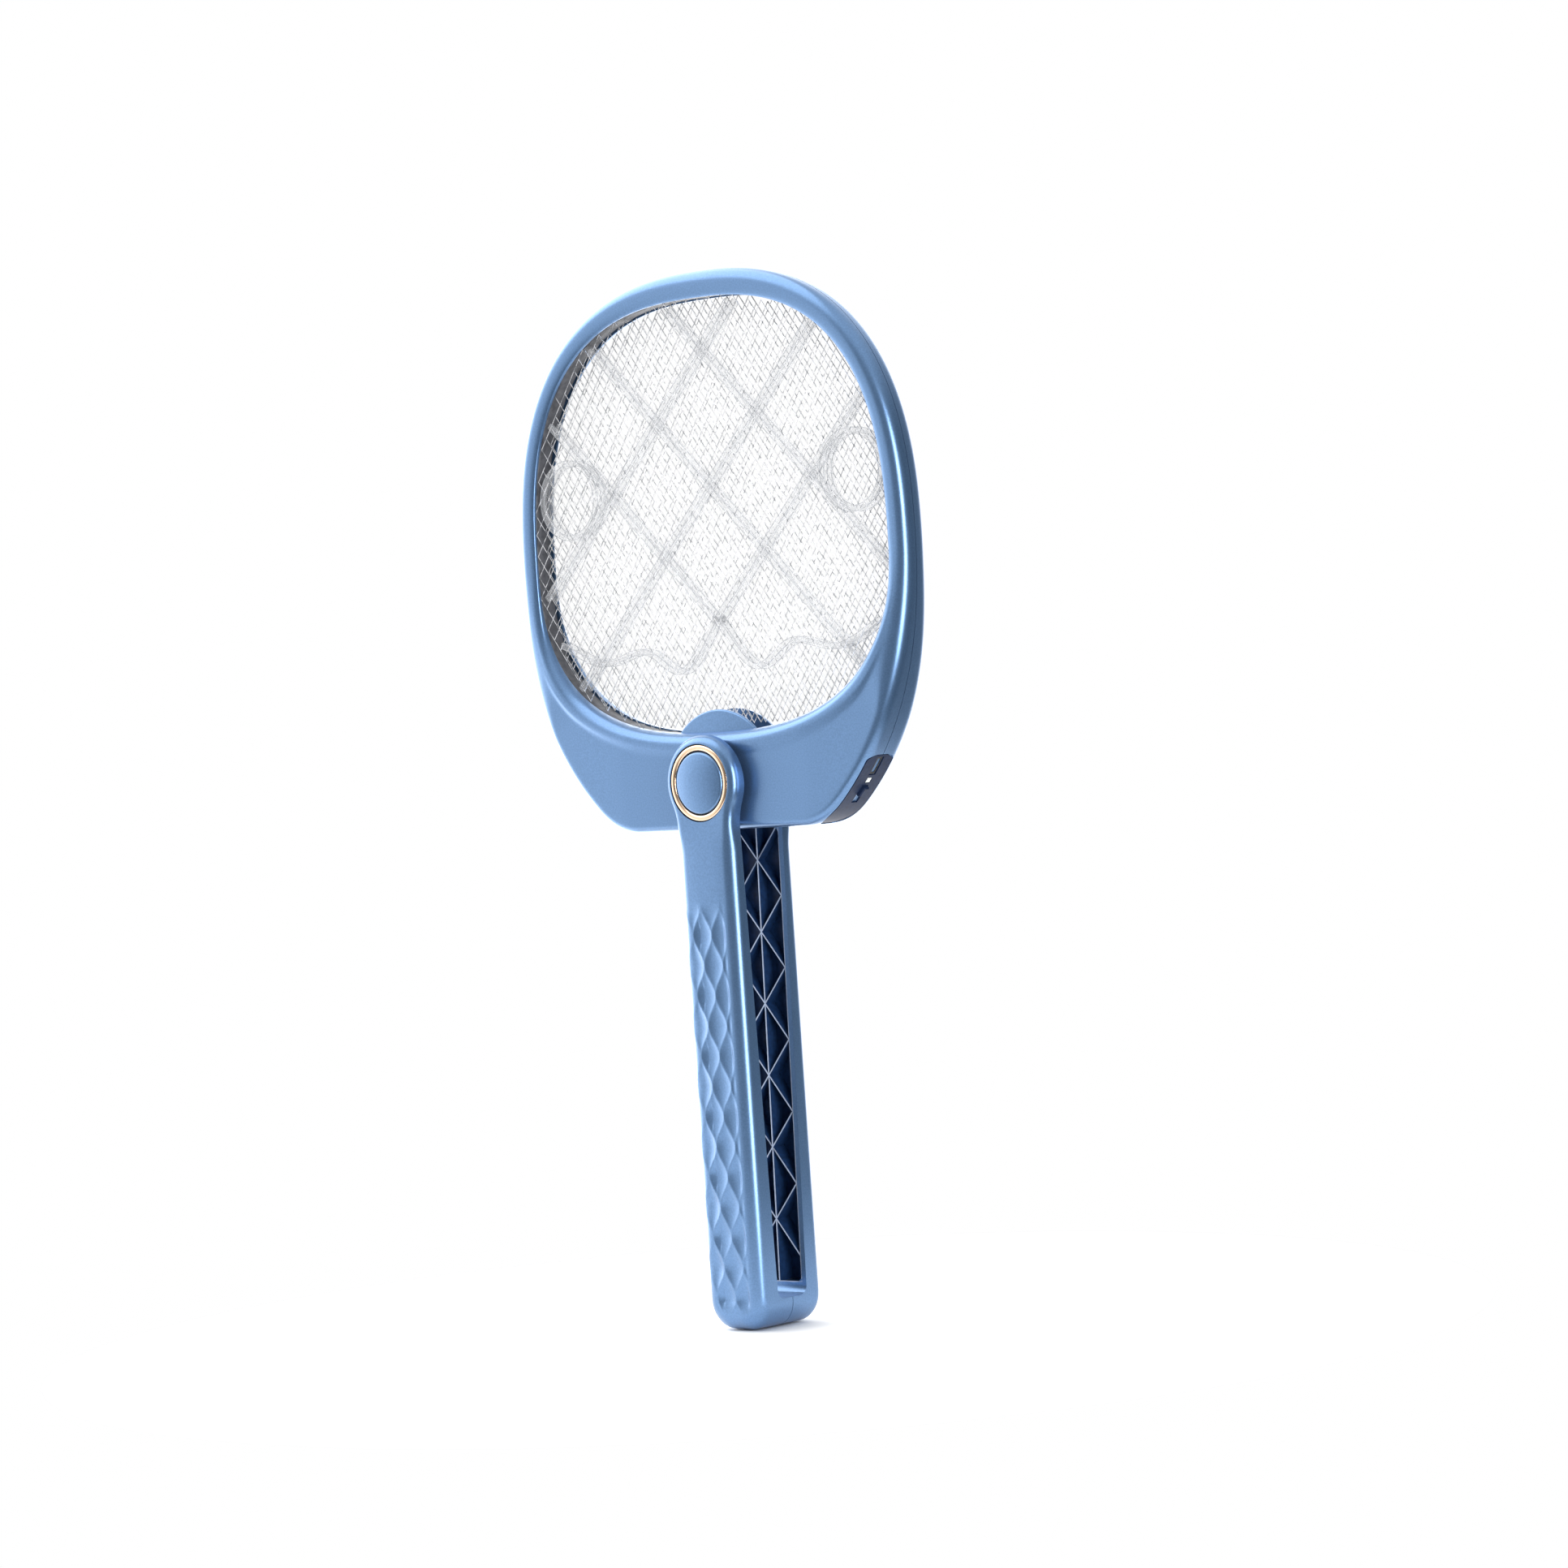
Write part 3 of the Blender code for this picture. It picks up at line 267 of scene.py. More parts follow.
def material(name, colour, roughness, metallic=0.0, coat=0.0, coat_roughness=0.2, alpha=1.0,
             mottle=(900.0, 0.08), rough_vary=0.06, bump=(2500.0, 0.04), specular=0.5, dark=None):
    """Procedural material: colour mottled at one scale, roughness that varies, and a fine moulded grain.

    mottle is (scale, amount), bump is (scale, strength); dark is a second colour that noise mixes in.
    """
    made = bpy.data.materials.new(name)
    made.use_nodes = True
    tree = made.node_tree
    nodes, links = tree.nodes, tree.links
    shader = nodes["Principled BSDF"]
    place = nodes.new("ShaderNodeTexCoord")

    def noise(scale, detail=3.0):
        node = nodes.new("ShaderNodeTexNoise")
        node.inputs["Scale"].default_value = scale
        node.inputs["Detail"].default_value = detail
        links.new(place.outputs["Object"], node.inputs["Vector"])
        return node

    ramp = nodes.new("ShaderNodeValToRGB")
    scale, amount = mottle
    low = dark or [c * (1 - amount) for c in colour]
    high = colour if dark else [min(1.0, c * (1 + amount)) for c in colour]
    ramp.color_ramp.elements[0].position = 0.42 if dark else 0.3
    ramp.color_ramp.elements[1].position = 0.52 if dark else 0.7
    ramp.color_ramp.elements[0].color = (*low, 1.0)
    ramp.color_ramp.elements[1].color = (*high, 1.0)
    links.new(noise(scale).outputs["Fac"], ramp.inputs["Fac"])
    links.new(ramp.outputs["Color"], shader.inputs["Base Color"])
    spread = nodes.new("ShaderNodeMapRange")
    spread.inputs["To Min"].default_value = max(0.02, roughness - rough_vary)
    spread.inputs["To Max"].default_value = min(1.0, roughness + rough_vary)
    links.new(noise(60.0).outputs["Fac"], spread.inputs["Value"])
    links.new(spread.outputs["Result"], shader.inputs["Roughness"])
    grain = nodes.new("ShaderNodeBump")
    grain.inputs["Strength"].default_value = bump[1]
    grain.inputs["Distance"].default_value = 0.0002
    links.new(noise(bump[0], 2.0).outputs["Fac"], grain.inputs["Height"])
    links.new(grain.outputs["Normal"], shader.inputs["Normal"])
    shader.inputs["Metallic"].default_value = metallic
    shader.inputs["Coat Weight"].default_value = coat
    shader.inputs["Coat Roughness"].default_value = coat_roughness
    shader.inputs["Specular IOR Level"].default_value = specular
    shader.inputs["Alpha"].default_value = alpha
    return made


def make_looks():
    """Every material, by the short name that the pieces ask for."""
    return {
        "blue": material("satin_blue", (0.132, 0.248, 0.450), 0.30, metallic=0.75, coat=0.35,
                         coat_roughness=0.25, mottle=(1400.0, 0.10), rough_vary=0.03, bump=(2600.0, 0.025)),
        # Near-black blue that paints the shade inside the arms' pockets and on the ribs there.
        "navy": material("slot_navy", (0.008, 0.030, 0.095), 0.5, mottle=(500.0, 0.25), specular=0.3),
        # Near-black blue of the chin's side panel and switch knob: painted shade on the chin's down-facing
        # side.
        "panel": material("panel_navy", (0.008, 0.020, 0.060), 0.5, mottle=(600.0, 0.2), specular=0.3),
        # Light blue that paints the highlights on the ribs' outer edges and along the pocket's mouth.
        "highlight_blue": material("rib_edge_painted_highlight", (0.42, 0.50, 0.66), 0.35, metallic=0.2, mottle=(500.0, 0.1)),
        "gold": material("rose_gold", (0.93, 0.66, 0.46), 0.2, metallic=1.0, mottle=(700.0, 0.05),
                         rough_vary=0.04),
        "seam": material("seam_black", (0.006, 0.008, 0.014), 0.6, mottle=(500.0, 0.2)),
        "wire": material("wire_bright", (0.80, 0.80, 0.82), 0.3, metallic=0.5, mottle=(420.0, 0.1),
                         dark=(0.24, 0.25, 0.27), rough_vary=0.1),
        "wire_inner": material("wire_inner", (0.93, 0.93, 0.94), 0.34, metallic=0.3, mottle=(380.0, 0.1),
                               dark=(0.50, 0.51, 0.53), rough_vary=0.1),
        "carrier": material("carrier_grey", (0.085, 0.088, 0.10), 0.5, mottle=(300.0, 0.35),
                            bump=(900.0, 0.3)),
        "clear": material("clear_strap", (0.84, 0.85, 0.87), 0.18, alpha=0.22, mottle=(300.0, 0.05),
                          specular=0.7),
        # Grey, less clear lines on the straps' edges paint the dark edge reflections of clear plastic.
        "strap_edge_painted_reflection": material("strap_edge_painted_reflection", (0.62, 0.64, 0.67), 0.2, alpha=0.38, mottle=(300.0, 0.1),
                               specular=0.7),
        "steel": material("screw_steel", (0.58, 0.58, 0.60), 0.28, metallic=1.0, mottle=(800.0, 0.12)),
        "nylon": material("washer_nylon", (0.82, 0.82, 0.80), 0.5, mottle=(500.0, 0.05)),
        "brass": material("terminal_brass", (0.80, 0.60, 0.27), 0.3, metallic=1.0, mottle=(700.0, 0.1)),
        "board": material("board_green", (0.02, 0.16, 0.06), 0.4, coat=0.5, mottle=(350.0, 0.3)),
        "tape": material("winding_tape", (0.78, 0.55, 0.08), 0.45, mottle=(400.0, 0.1)),
        "red": material("capacitor_red", (0.50, 0.04, 0.03), 0.3, coat=0.5, mottle=(500.0, 0.1)),
        "sleeve": material("cell_sleeve", (0.05, 0.25, 0.18), 0.3, coat=0.6, mottle=(300.0, 0.08)),
        "lens": material("light_lens", (0.88, 0.93, 0.90), 0.15, coat=0.8, mottle=(500.0, 0.04)),
        "black": material("black_plastic", (0.018, 0.018, 0.02), 0.4, mottle=(600.0, 0.2)),
    }


# ---------------------------------------------------------------- mesh helpers

def store(bm, name, look, body, smooth_angle=40.0):
    """A bmesh in millimetres becomes a piece that rides on a body."""
    bmesh.ops.remove_doubles(bm, verts=bm.verts, dist=0.0005)
    bmesh.ops.recalc_face_normals(bm, faces=bm.faces)
    if bm.calc_volume(signed=True) < 0:
        bmesh.ops.reverse_faces(bm, faces=bm.faces)
    bmesh.ops.scale(bm, vec=(MM, MM, MM), verts=bm.verts)
    mesh = bpy.data.meshes.new(name)
    bm.to_mesh(mesh)
    bm.free()
    mesh.shade_smooth()
    mesh.set_sharp_from_angle(angle=radians(smooth_angle))
    obj = bpy.data.objects.new(name, mesh)
    bpy.context.scene.collection.objects.link(obj)
    obj.data.materials.append(look)
    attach(obj, body)
    return obj


def rings_to_mesh(rings, closed=True):
    """Skin over rings of points; an open row of rings gets a face at each end."""
    bm = bmesh.new()
    made = [[bm.verts.new(p) for p in ring] for ring in rings]
    pairs = list(zip(made, made[1:])) + ([(made[-1], made[0])] if closed else [])
    for a, b in pairs:
        for k in range(len(a)):
            n = (k + 1) % len(a)
            bm.faces.new([a[k], a[n], b[n], b[k]])
    if not closed:
        bm.faces.new(made[0])
        bm.faces.new(list(reversed(made[-1])))
    return bm


def turned(profile, centre=(0.0, PIVOT), sides=96):
    """A closed profile of (radius, y) points turned about the Y direction through a centre (x, z)."""
    bm = bmesh.new()
    rings = []
    for radius, y in profile:
        if radius < 1e-6:
            rings.append([bm.verts.new((centre[0], y, centre[1]))])
            continue
        angles = [2 * pi * k / sides for k in range(sides)]
        rings.append([bm.verts.new((centre[0] + radius * cos(a), y, centre[1] + radius * sin(a)))
                      for a in angles])
    whole = all(len(ring) > 1 for ring in rings)
    for a, b in list(zip(rings, rings[1:])) + ([(rings[-1], rings[0])] if whole else []):
        for k in range(sides):
            n = (k + 1) % sides
            face = list(dict.fromkeys([a[k % len(a)], a[n % len(a)], b[n % len(b)], b[k % len(b)]]))
            if len(face) > 2:
                bm.faces.new(face)
    return bm


def extruded(points, step):
    """A flat face drawn out by a step."""
    bm = bmesh.new()
    face = bm.faces.new([bm.verts.new(p) for p in points])
    made = bmesh.ops.extrude_face_region(bm, geom=[face])
    far = [v for v in made["geom"] if isinstance(v, bmesh.types.BMVert)]
    bmesh.ops.translate(bm, vec=step, verts=far)
    return bm


def prism(outline, front, back):
    """An outline of (x, z) points drawn from front to back."""
    return extruded([(x, front, z) for x, z in outline], (0, back - front, 0))


def side_prism(outline, left, right):
    """An outline of (y, z) points drawn from left to right."""
    return extruded([(left, y, z) for y, z in outline], (right - left, 0, 0))


def combine(bm, others, operation):
    """Exact Boolean of one bmesh with several; the result is a new bmesh."""
    group = bpy.data.collections.new("boolean")
    bpy.context.scene.collection.children.link(group)
    holders = []
    for source in (bm, *others):
        bmesh.ops.recalc_face_normals(source, faces=source.faces)
        if source.calc_volume(signed=True) < 0:
            bmesh.ops.reverse_faces(source, faces=source.faces)
        mesh = bpy.data.meshes.new("boolean")
        source.to_mesh(mesh)
        source.free()
        holder = bpy.data.objects.new("boolean", mesh)
        (group if holders else bpy.context.scene.collection).objects.link(holder)
        holders.append(holder)
    modifier = holders[0].modifiers.new("Boolean", "BOOLEAN")
    modifier.operation = operation
    modifier.solver = "EXACT"
    modifier.operand_type = "COLLECTION"
    modifier.collection = group
    graph = bpy.context.evaluated_depsgraph_get()
    result = bmesh.new()
    result.from_mesh(holders[0].evaluated_get(graph).to_mesh())
    for holder in holders:
        mesh = holder.data
        bpy.data.objects.remove(holder)
        bpy.data.meshes.remove(mesh)
    bpy.data.collections.remove(group)
    return result


def mirrored(bm):
    """The same mesh turned from front to back."""
    bmesh.ops.scale(bm, vec=(1, -1, 1), verts=bm.verts)
    return bm


def add(whole, part):
    """Adds a bmesh's faces to another one."""
    mesh = bpy.data.meshes.new("part")
    part.to_mesh(mesh)
    part.free()
    whole.from_mesh(mesh)
    bpy.data.meshes.remove(mesh)


def smoothstep(value):
    """Eases from 0 to 1."""
    value = min(1.0, max(0.0, value))
    return value * value * (3 - 2 * value)


# ---------------------------------------------------------------- head outlines

def bezier(points, t):
    """Point on a Bezier curve of any degree."""
    points = [Vector(p) for p in points]
    while len(points) > 1:
        points = [a.lerp(b, t) for a, b in zip(points, points[1:])]
    return points[0]


def superellipse_radius(angle, half_width, half_height, power):
    """Distance from the centre to a superellipse; the angle starts at the top."""
    across, up = abs(sin(angle)) / half_width, abs(cos(angle)) / half_height
    return (across ** power + up ** power) ** (-1 / power)


def opening_point(angle, beyond=0.0):
    """Point (x, z) on the edge of the head's opening, or a distance beyond it."""
    rise = TOTAL_HEIGHT - RIM_TOP - MID_HEIGHT + beyond
    half_height = rise if cos(angle) > 0 else OPENING_DROP + beyond
    reach = superellipse_radius(angle, HALF_WIDTH - RIM_SIDE + beyond, half_height, OPENING_POWER)
    return Vector((reach * sin(angle), MID_HEIGHT + reach * cos(angle)))


def chin_side(t):
    """Point on the chin's right side, from the widest place down to its lower corner."""
    drop = MID_HEIGHT - CHIN_BOTTOM
    shape = ((1.0, 0.0), (1.0, 0.34), (0.913, 0.672), (0.623, 0.923))
    return bezier([(HALF_WIDTH * x, MID_HEIGHT - drop * z) for x, z in shape], t)


def chin_corner(t):
    """Point on the chin's lower right corner."""
    drop = MID_HEIGHT - CHIN_BOTTOM
    shape = ((0.623, 0.923), (0.534, 1.0), (0.427, 1.0))
    return bezier([(HALF_WIDTH * x, MID_HEIGHT - drop * z) for x, z in shape], t)


def head_outline():
    """Outer outline of the head, clockwise from the top."""
    right = []
    rise = TOTAL_HEIGHT - MID_HEIGHT
    for k in range(56):
        angle = pi / 2 * k / 56
        reach = superellipse_radius(angle, HALF_WIDTH, rise, OUTER_POWER)
        right.append(Vector((reach * sin(angle), MID_HEIGHT + reach * cos(angle))))
    right += [chin_side(k / 44) for k in range(44)]
    right += [chin_corner(k / 12) for k in range(13)]
    half_flat = right[-1].x
    right += [Vector((half_flat * (1 - k / 12), CHIN_BOTTOM)) for k in range(1, 13)]
    left = [Vector((-p.x, p.y)) for p in right[-2:0:-1]]
    return right + left


def half_depth(point):
    """Half the head's thickness at a point of its front view: thick round the pivot, thin at the hoop."""
    start, end = CHIN_REACH
    reach = hypot(point.x, point.y - PIVOT)
    thinned = smoothstep((reach - start) / (end - start))
    thickest = min(CHIN_DEPTH, SLOT_HALF - SLOT_TAPER * reach - FOLD_CLEARANCE)
    return thickest + (HOOP_DEPTH - thickest) * thinned


def shell_section(outer, squareness):
    """Profile of the front shell at one point of the outline: lip, roll, panel, round edge, inside."""
    from_middle = outer - Vector((0, MID_HEIGHT))
    rim = opening_point(atan2(from_middle.x, from_middle.y))
    span = (outer - rim).length
    out = (outer - rim) / span
    inside_edge = span - 0.01

    def at(distance):
        return rim + out * distance

    thick = smoothstep((span - 13.0) / 14.0)
    lip = 3.9 + 1.9 * thick
    edge = 0.55 * span * (1 - thick) + 4.4 * thick
    rim_depth = LIP_FACE + 0.8 * thick
    panel_drop = 1.15 * thick

    def crest(distance):
        return half_depth(at(distance)) - panel_drop * smoothstep((distance - lip - 1.6) / 2.6)

    profile = []
    for k in range(9):
        turn = pi / 2 * k / 8
        s = lip * (1 - cos(turn))
        profile.append((s, rim_depth + (crest(lip) - rim_depth) * sin(turn)))
    shoulder = span - edge
    steps = 16
    for k in range(1, steps + 1):
        s = lip + (shoulder - lip) * k / (steps + 1)
        profile.append((s, crest(s)))
    fall_depth = min(crest(inside_edge) - HALF_GAP, 6.0 + 1.0 * (1 - thick))
    floor = crest(inside_edge) - fall_depth
    for k in range(13):
        turn = pi / 2 * k / 12
        s = shoulder + edge * sin(turn) ** (2 / squareness)
        drop = 1 - cos(turn) ** (2 / squareness) if k < 12 else 1.0
        profile.append((s, crest(min(s, inside_edge)) - fall_depth * drop))
    profile.append((span if floor > HALF_GAP + 0.05 else inside_edge, HALF_GAP))
    profile += [
        (span - 2.0, HALF_GAP),
        (span - 2.2, 3.0),
        (span - 4.0, half_depth(at(span - 4.0)) - 3.2),
        (lip + 0.6, half_depth(at(lip)) - 2.6),
        (CARRIER_WIDTH + 0.3, LIP_UNDERSIDE),
        (0.0, LIP_UNDERSIDE),
    ]
    return [Vector((at(s).x, -y, at(s).y)) for s, y in profile]


def head_shell(squareness):
    """The front shell as one closed skin round the head's outline."""
    return rings_to_mesh([shell_section(p, squareness) for p in head_outline()])


def tab_outline(radius):
    """Arc about the pivot, closed by a flat foot."""
    start = asin((TAB_FOOT - PIVOT) / radius)
    arc = [start + (pi - 2 * start) * k / 40 for k in range(41)]
    return [(radius * cos(a), PIVOT + radius * sin(a)) for a in arc]


def terminal_tab():
    """Round tab about the pivot that rises into the opening; its front edge is rounded over."""
    turn_in = 0.9
    rings = [[(x, -LIP_UNDERSIDE - 0.05, z) for x, z in tab_outline(TAB_RADIUS)]]
    for k in range(5):
        a = pi / 2 * k / 4
        level = -TAB_FACE + turn_in * (1 - sin(a))
        rings.append([(x, level, z) for x, z in tab_outline(TAB_RADIUS - turn_in * (1 - cos(a)))])
    return rings_to_mesh(rings, closed=False)


# ---------------------------------------------------------------- side of the chin

def side_place(place):
    """Matrix that puts a shape at the origin on the chin's right side: X runs down it, Z points out."""
    point = chin_side(place)
    along = (chin_side(place + 0.01) - chin_side(place - 0.01)).normalized()
    return Matrix(((along.x, 0, -along.y, point.x), (0, 1, 0, 0),
                   (along.y, 0, along.x, point.y), (0, 0, 0, 1)))


def side_path(start, count=40):
    """Points and outward directions along the side from a place to near the end of the corner."""
    points = [chin_side(start + (1 - start) * k / count) for k in range(count)]
    points += [chin_corner(k / 10) for k in range(9)]
    return list(zip(points, sideways(points)))


def side_strip(start, half_width, outer, inner):
    """A strip that follows the side, between two levels from the surface, with rounded ends."""
    path = side_path(start)
    taper = 6
    rings = []
    for k, (p, out) in enumerate(path):
        ease = min(1.0, (k + 0.6) / taper, (len(path) - 1 - k + 0.6) / taper)
        w = half_width * sqrt(max(0.05, 1 - (1 - ease) ** 2))
        top, low = p + out * outer, p + out * inner
        rings.append([(top.x, -w, top.y), (top.x, w, top.y), (low.x, w, low.y), (low.x, -w, low.y)])
    return rings_to_mesh(rings, closed=False)


def block(low, high, matrix):
    """A box between two corners, put in place by a matrix."""
    bm = bmesh.new()
    bmesh.ops.create_cube(bm, size=1.0)
    low, high = Vector(low), Vector(high)
    bmesh.ops.scale(bm, vec=high - low, verts=bm.verts)
    bmesh.ops.translate(bm, vec=(high + low) / 2, verts=bm.verts)
    bm.transform(matrix)
    return bm


# ---------------------------------------------------------------- head pieces

def make_head(looks):
    """Both shells of the head, cut for the side panel, with the tab that rises into the opening."""
    for name, squareness in (("front", FRONT_SQUARENESS), ("rear", REAR_SQUARENESS)):
        shell, tab = head_shell(squareness), terminal_tab()
        cutters = [side_strip(PANEL_START, PANEL_HALF_WIDTH + PANEL_CLEARANCE, 3.0, -1.0)]
        if name == "rear":
            shell, tab = mirrored(shell), mirrored(tab)
            cutters += screw_holes("head_screw", 0.25, 1.0)
        shell = combine(shell, cutters, "DIFFERENCE")
        piece = store(shell, f"{name}_shell", looks["blue"], "head", 50.0)
        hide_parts(f"head_{name}_frame")
        store(tab, f"{name}_terminal_tab", looks["blue"], "head", 50.0)
    make_side_panel(looks)


def screw_holes(kind, clearance, depth):
    """Cutters that open the back over each screw's head."""
    made = []
    for name in frame["nodes"]:
        if name.startswith(kind):
            low, high = corners(name)
            radius = (high.x - low.x) / 2 + clearance
            section = [(0, high.y - depth), (radius, high.y - depth), (radius, 40.0), (0, 40.0)]
            made.append(turned(section, ((low.x + high.x) / 2, (low.z + high.z) / 2), 32))
    return made


def make_side_panel(looks):
    """Dark panel let into the chin's side, with the switch, the light and the charging socket; its near-black
    colour is painted shade, the shade on the chin's down-facing side.
    """
    strip = side_strip(PANEL_START + 0.005, PANEL_HALF_WIDTH, -0.35, -1.5)
    holes = [
        block((-4.9, -2.1, -3.0), (4.9, 2.1, 3.0), side_place(SOCKET_PLACE)),
        block((-5.2, -1.9, -3.0), (5.2, 1.9, 3.0), side_place(SWITCH_PLACE)),
        block((-1.6, -1.6, -3.0), (1.6, 1.6, 3.0), side_place(LIGHT_PLACE)),
    ]
    strip = combine(strip, holes, "DIFFERENCE")
    store(strip, "side_panel", looks["panel"], "head")


def mesh_layer(name, node, y, look, phase, strand=(0.5, 0.18), beyond=1.2, tilt=35.0):
    """Expanded metal: short flat strands, each turned about its own length, that meet at staggered knots."""
    across, along = 6.9 / 2, 9.7 / 2
    columns = int(HALF_WIDTH / across) + 2
    rows = int(130.0 / along) + 2
    overlap = 0.12
    bm = bmesh.new()
    length = hypot(across, along)
    for i in range(-columns, columns + 1):
        for j in range(-rows, rows + 1):
            if (i + j) % 2:
                continue
            x, z = i * across + phase[0], MESH_CENTRE + j * along + phase[1]
            for slope in (1, -1):
                x2, z2 = x + across, z + slope * along
                if not (inside_opening((x, z), beyond) and inside_opening((x2, z2), beyond)):
                    continue
                run = Vector((x2 - x, 0, z2 - z)) / length
                flat = Vector((-run.z, 0, run.x))
                lean = radians(tilt * slope)
                wide = flat * cos(lean) + Vector((0, 1, 0)) * sin(lean)
                thin = wide.cross(run)
                start = Vector((x, y, z)) - run * overlap
                stop = Vector((x2, y, z2)) + run * overlap
                ring = []
                for end in (start, stop):
                    ring.append([bm.verts.new(end + wide * strand[0] / 2 * a + thin * strand[1] / 2 * b)
                                 for a, b in ((1, 1), (-1, 1), (-1, -1), (1, -1))])
                for k in range(4):
                    n = (k + 1) % 4
                    bm.faces.new([ring[0][k], ring[0][n], ring[1][n], ring[1][k]])
                bm.faces.new(ring[0])
                bm.faces.new(list(reversed(ring[1])))
    bmesh.ops.scale(bm, vec=(MM, MM, MM), verts=bm.verts)
    mesh = bpy.data.meshes.new(name)
    bm.to_mesh(mesh)
    bm.free()
    piece = bpy.data.objects.new(name, mesh)
    bpy.context.scene.collection.objects.link(piece)
    mesh.materials.append(look)
    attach(piece, "head")
    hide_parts(node)


def make_meshes(looks):
    """The charged grid between its two guards, each layer a little out of step with the next."""
    front = (GUARD_LOW.y + GUARD_HIGH.y) / 2
    mesh_layer("front_guard", "front_guard_mesh", front, looks["wire"], (0.0, 0.0))
    inner = looks["wire_inner"]
    mesh_layer("inner_grid", "charged_grid", 0.0, inner, (1.7, 2.4), (0.36, 0.16), beyond=-0.3)
    mesh_layer("rear_guard", "rear_guard_mesh", -front, inner, (-0.9, 4.9), (0.42, 0.18), tilt=-35.0)
    make_carrier(looks)


def make_carrier(looks):
    """Ring that the meshes are clamped to, with small ribs on its inner wall."""
    depth = CARRIER_DEPTH
    rings = []
    count = 360
    for k in range(count):
        angle = 2 * pi * k / count
        proud = 0.25 if k % 12 in (0, 1) else 0.55
        wall, edge, back = (opening_point(angle, beyond) for beyond in (proud, 0.9, CARRIER_WIDTH))
        rings.append([(wall.x, -depth + 0.5, wall.y), (edge.x, -depth, edge.y), (back.x, -depth, back.y),
                      (back.x, depth, back.y), (edge.x, depth, edge.y), (wall.x, depth - 0.5, wall.y)])
    piece = store(rings_to_mesh(rings), "carrier_ring", looks["carrier"], "head")
    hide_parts("grid_carrier_ring")


def sideways(points):
    """Unit vector across the path at each of its points."""
    made = []
    for k in range(len(points)):
        before, after = points[max(0, k - 1)], points[min(len(points) - 1, k + 1)]
        along = (Vector(after) - Vector(before)).normalized()
        made.append(Vector((-along.y, along.x)))
    return made


def strap(points, width, front, back):
    """A flat strip along points (x, z) with slightly rounded faces."""
    edge = 0.3
    section = ((1, front + edge), (0.7, front), (-0.7, front), (-1, front + edge),
               (-1, back - edge), (-0.7, back), (0.7, back), (1, back - edge))
    rings = []
    for p, across in zip(points, sideways(points)):
        side = across * width / 2
        rings.append([(p[0] + side.x * s, y, p[1] + side.y * s) for s, y in section])
    return rings_to_mesh(rings, closed=False)


def beside(points, distance):
    """The path moved sideways by a distance."""
    return [Vector(p) + across * distance for p, across in zip(points, sideways(points))]


def lattice_paths():
    """Centre lines of one lattice: crossed straps, loops at the sides and waves down to the frame."""
    paths = []
    for sign in (1, -1):
        for row in (-1, 0, 1):
            z = LATTICE_CENTRE + row * 2 * STRAP_STEP
            line = [Vector((x, z + sign * x)) for x in (k * 1.8 for k in range(-60, 61))]
            paths.append([p for p in line if inside_opening(p, -0.4) and not past_straps(p)])
    for side in (1, -1):
        circle = [Vector((side * LOOP_REACH + LOOP_RADIUS * cos(a), LATTICE_CENTRE + LOOP_RADIUS * sin(a)))
                  for a in (2 * pi * k / 40 for k in range(41))]
        paths.append([p for p in circle if inside_opening(p, -0.3)])
        wave = ((0.0, LATTICE_CENTRE - 2 * STRAP_STEP + 1), (22.0, 293.0), (45.0, 303.0), (72.0, 299.0),
                (97.0, 309.0))
        path = smooth_path([(side * x, z) for x, z in wave], 10)
        paths.append([p for p in path if inside_opening(p, -0.3)])
    return paths


def inside_opening(p, beyond):
    """True for a point (x, z) inside the head's opening, or no further than a distance beyond its edge."""
    rim = opening_point(atan2(p[0], p[1] - MID_HEIGHT))
    return hypot(p[0], p[1] - MID_HEIGHT) < (rim - Vector((0, MID_HEIGHT))).length + beyond


def past_straps(p):
    """True inside the loops and below the lowest crossing, where the straps stop."""
    if hypot(abs(p.x) - LOOP_REACH, p.y - LATTICE_CENTRE) < LOOP_RADIUS:
        return True
    return p.y < LATTICE_CENTRE - 2 * STRAP_STEP and abs(p.x) < 3 * STRAP_STEP / 2


def smooth_path(points, per_span):
    """Catmull-Rom curve through the points."""
    pts = [Vector(p) for p in points]
    pts = [2 * pts[0] - pts[1]] + pts + [2 * pts[-1] - pts[-2]]
    made = []
    for a, b, c, d in zip(pts, pts[1:], pts[2:], pts[3:]):
        for k in range(per_span):
            t = k / per_span
            made.append(0.5 * (2 * b + (c - a) * t + (2 * a - 5 * b + 4 * c - d) * t * t
                               + (3 * b - a - 3 * c + d) * t ** 3))
    return made + [pts[-2]]


def make_lattices(looks):
    """Clear straps between the grid and each guard, with a grey, less clear line along each edge: a painted
    reflection, the dark edges that clear plastic shows.
    """
    edge_width, edge_line = 0.4, STRAP_WIDTH / 2 - 0.05
    for name, front, back in (("front", -STRAP_BACK, -STRAP_FRONT), ("rear", STRAP_FRONT, STRAP_BACK)):
        whole, edges = bmesh.new(), bmesh.new()
        for points in lattice_paths():
            if len(points) < 2:
                continue
            add(whole, strap(points, STRAP_WIDTH, front, back))
            for side in (1, -1):
                add(edges, strap(beside(points, side * edge_line), edge_width, front - 0.02, front + 0.5))
        piece = store(whole, f"{name}_lattice", looks["clear"], "head")
        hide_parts(f"{name}_support_lattice")
        store(edges, f"{name}_lattice_edges", looks["strap_edge_painted_reflection"], "head")


# ---------------------------------------------------------------- handle

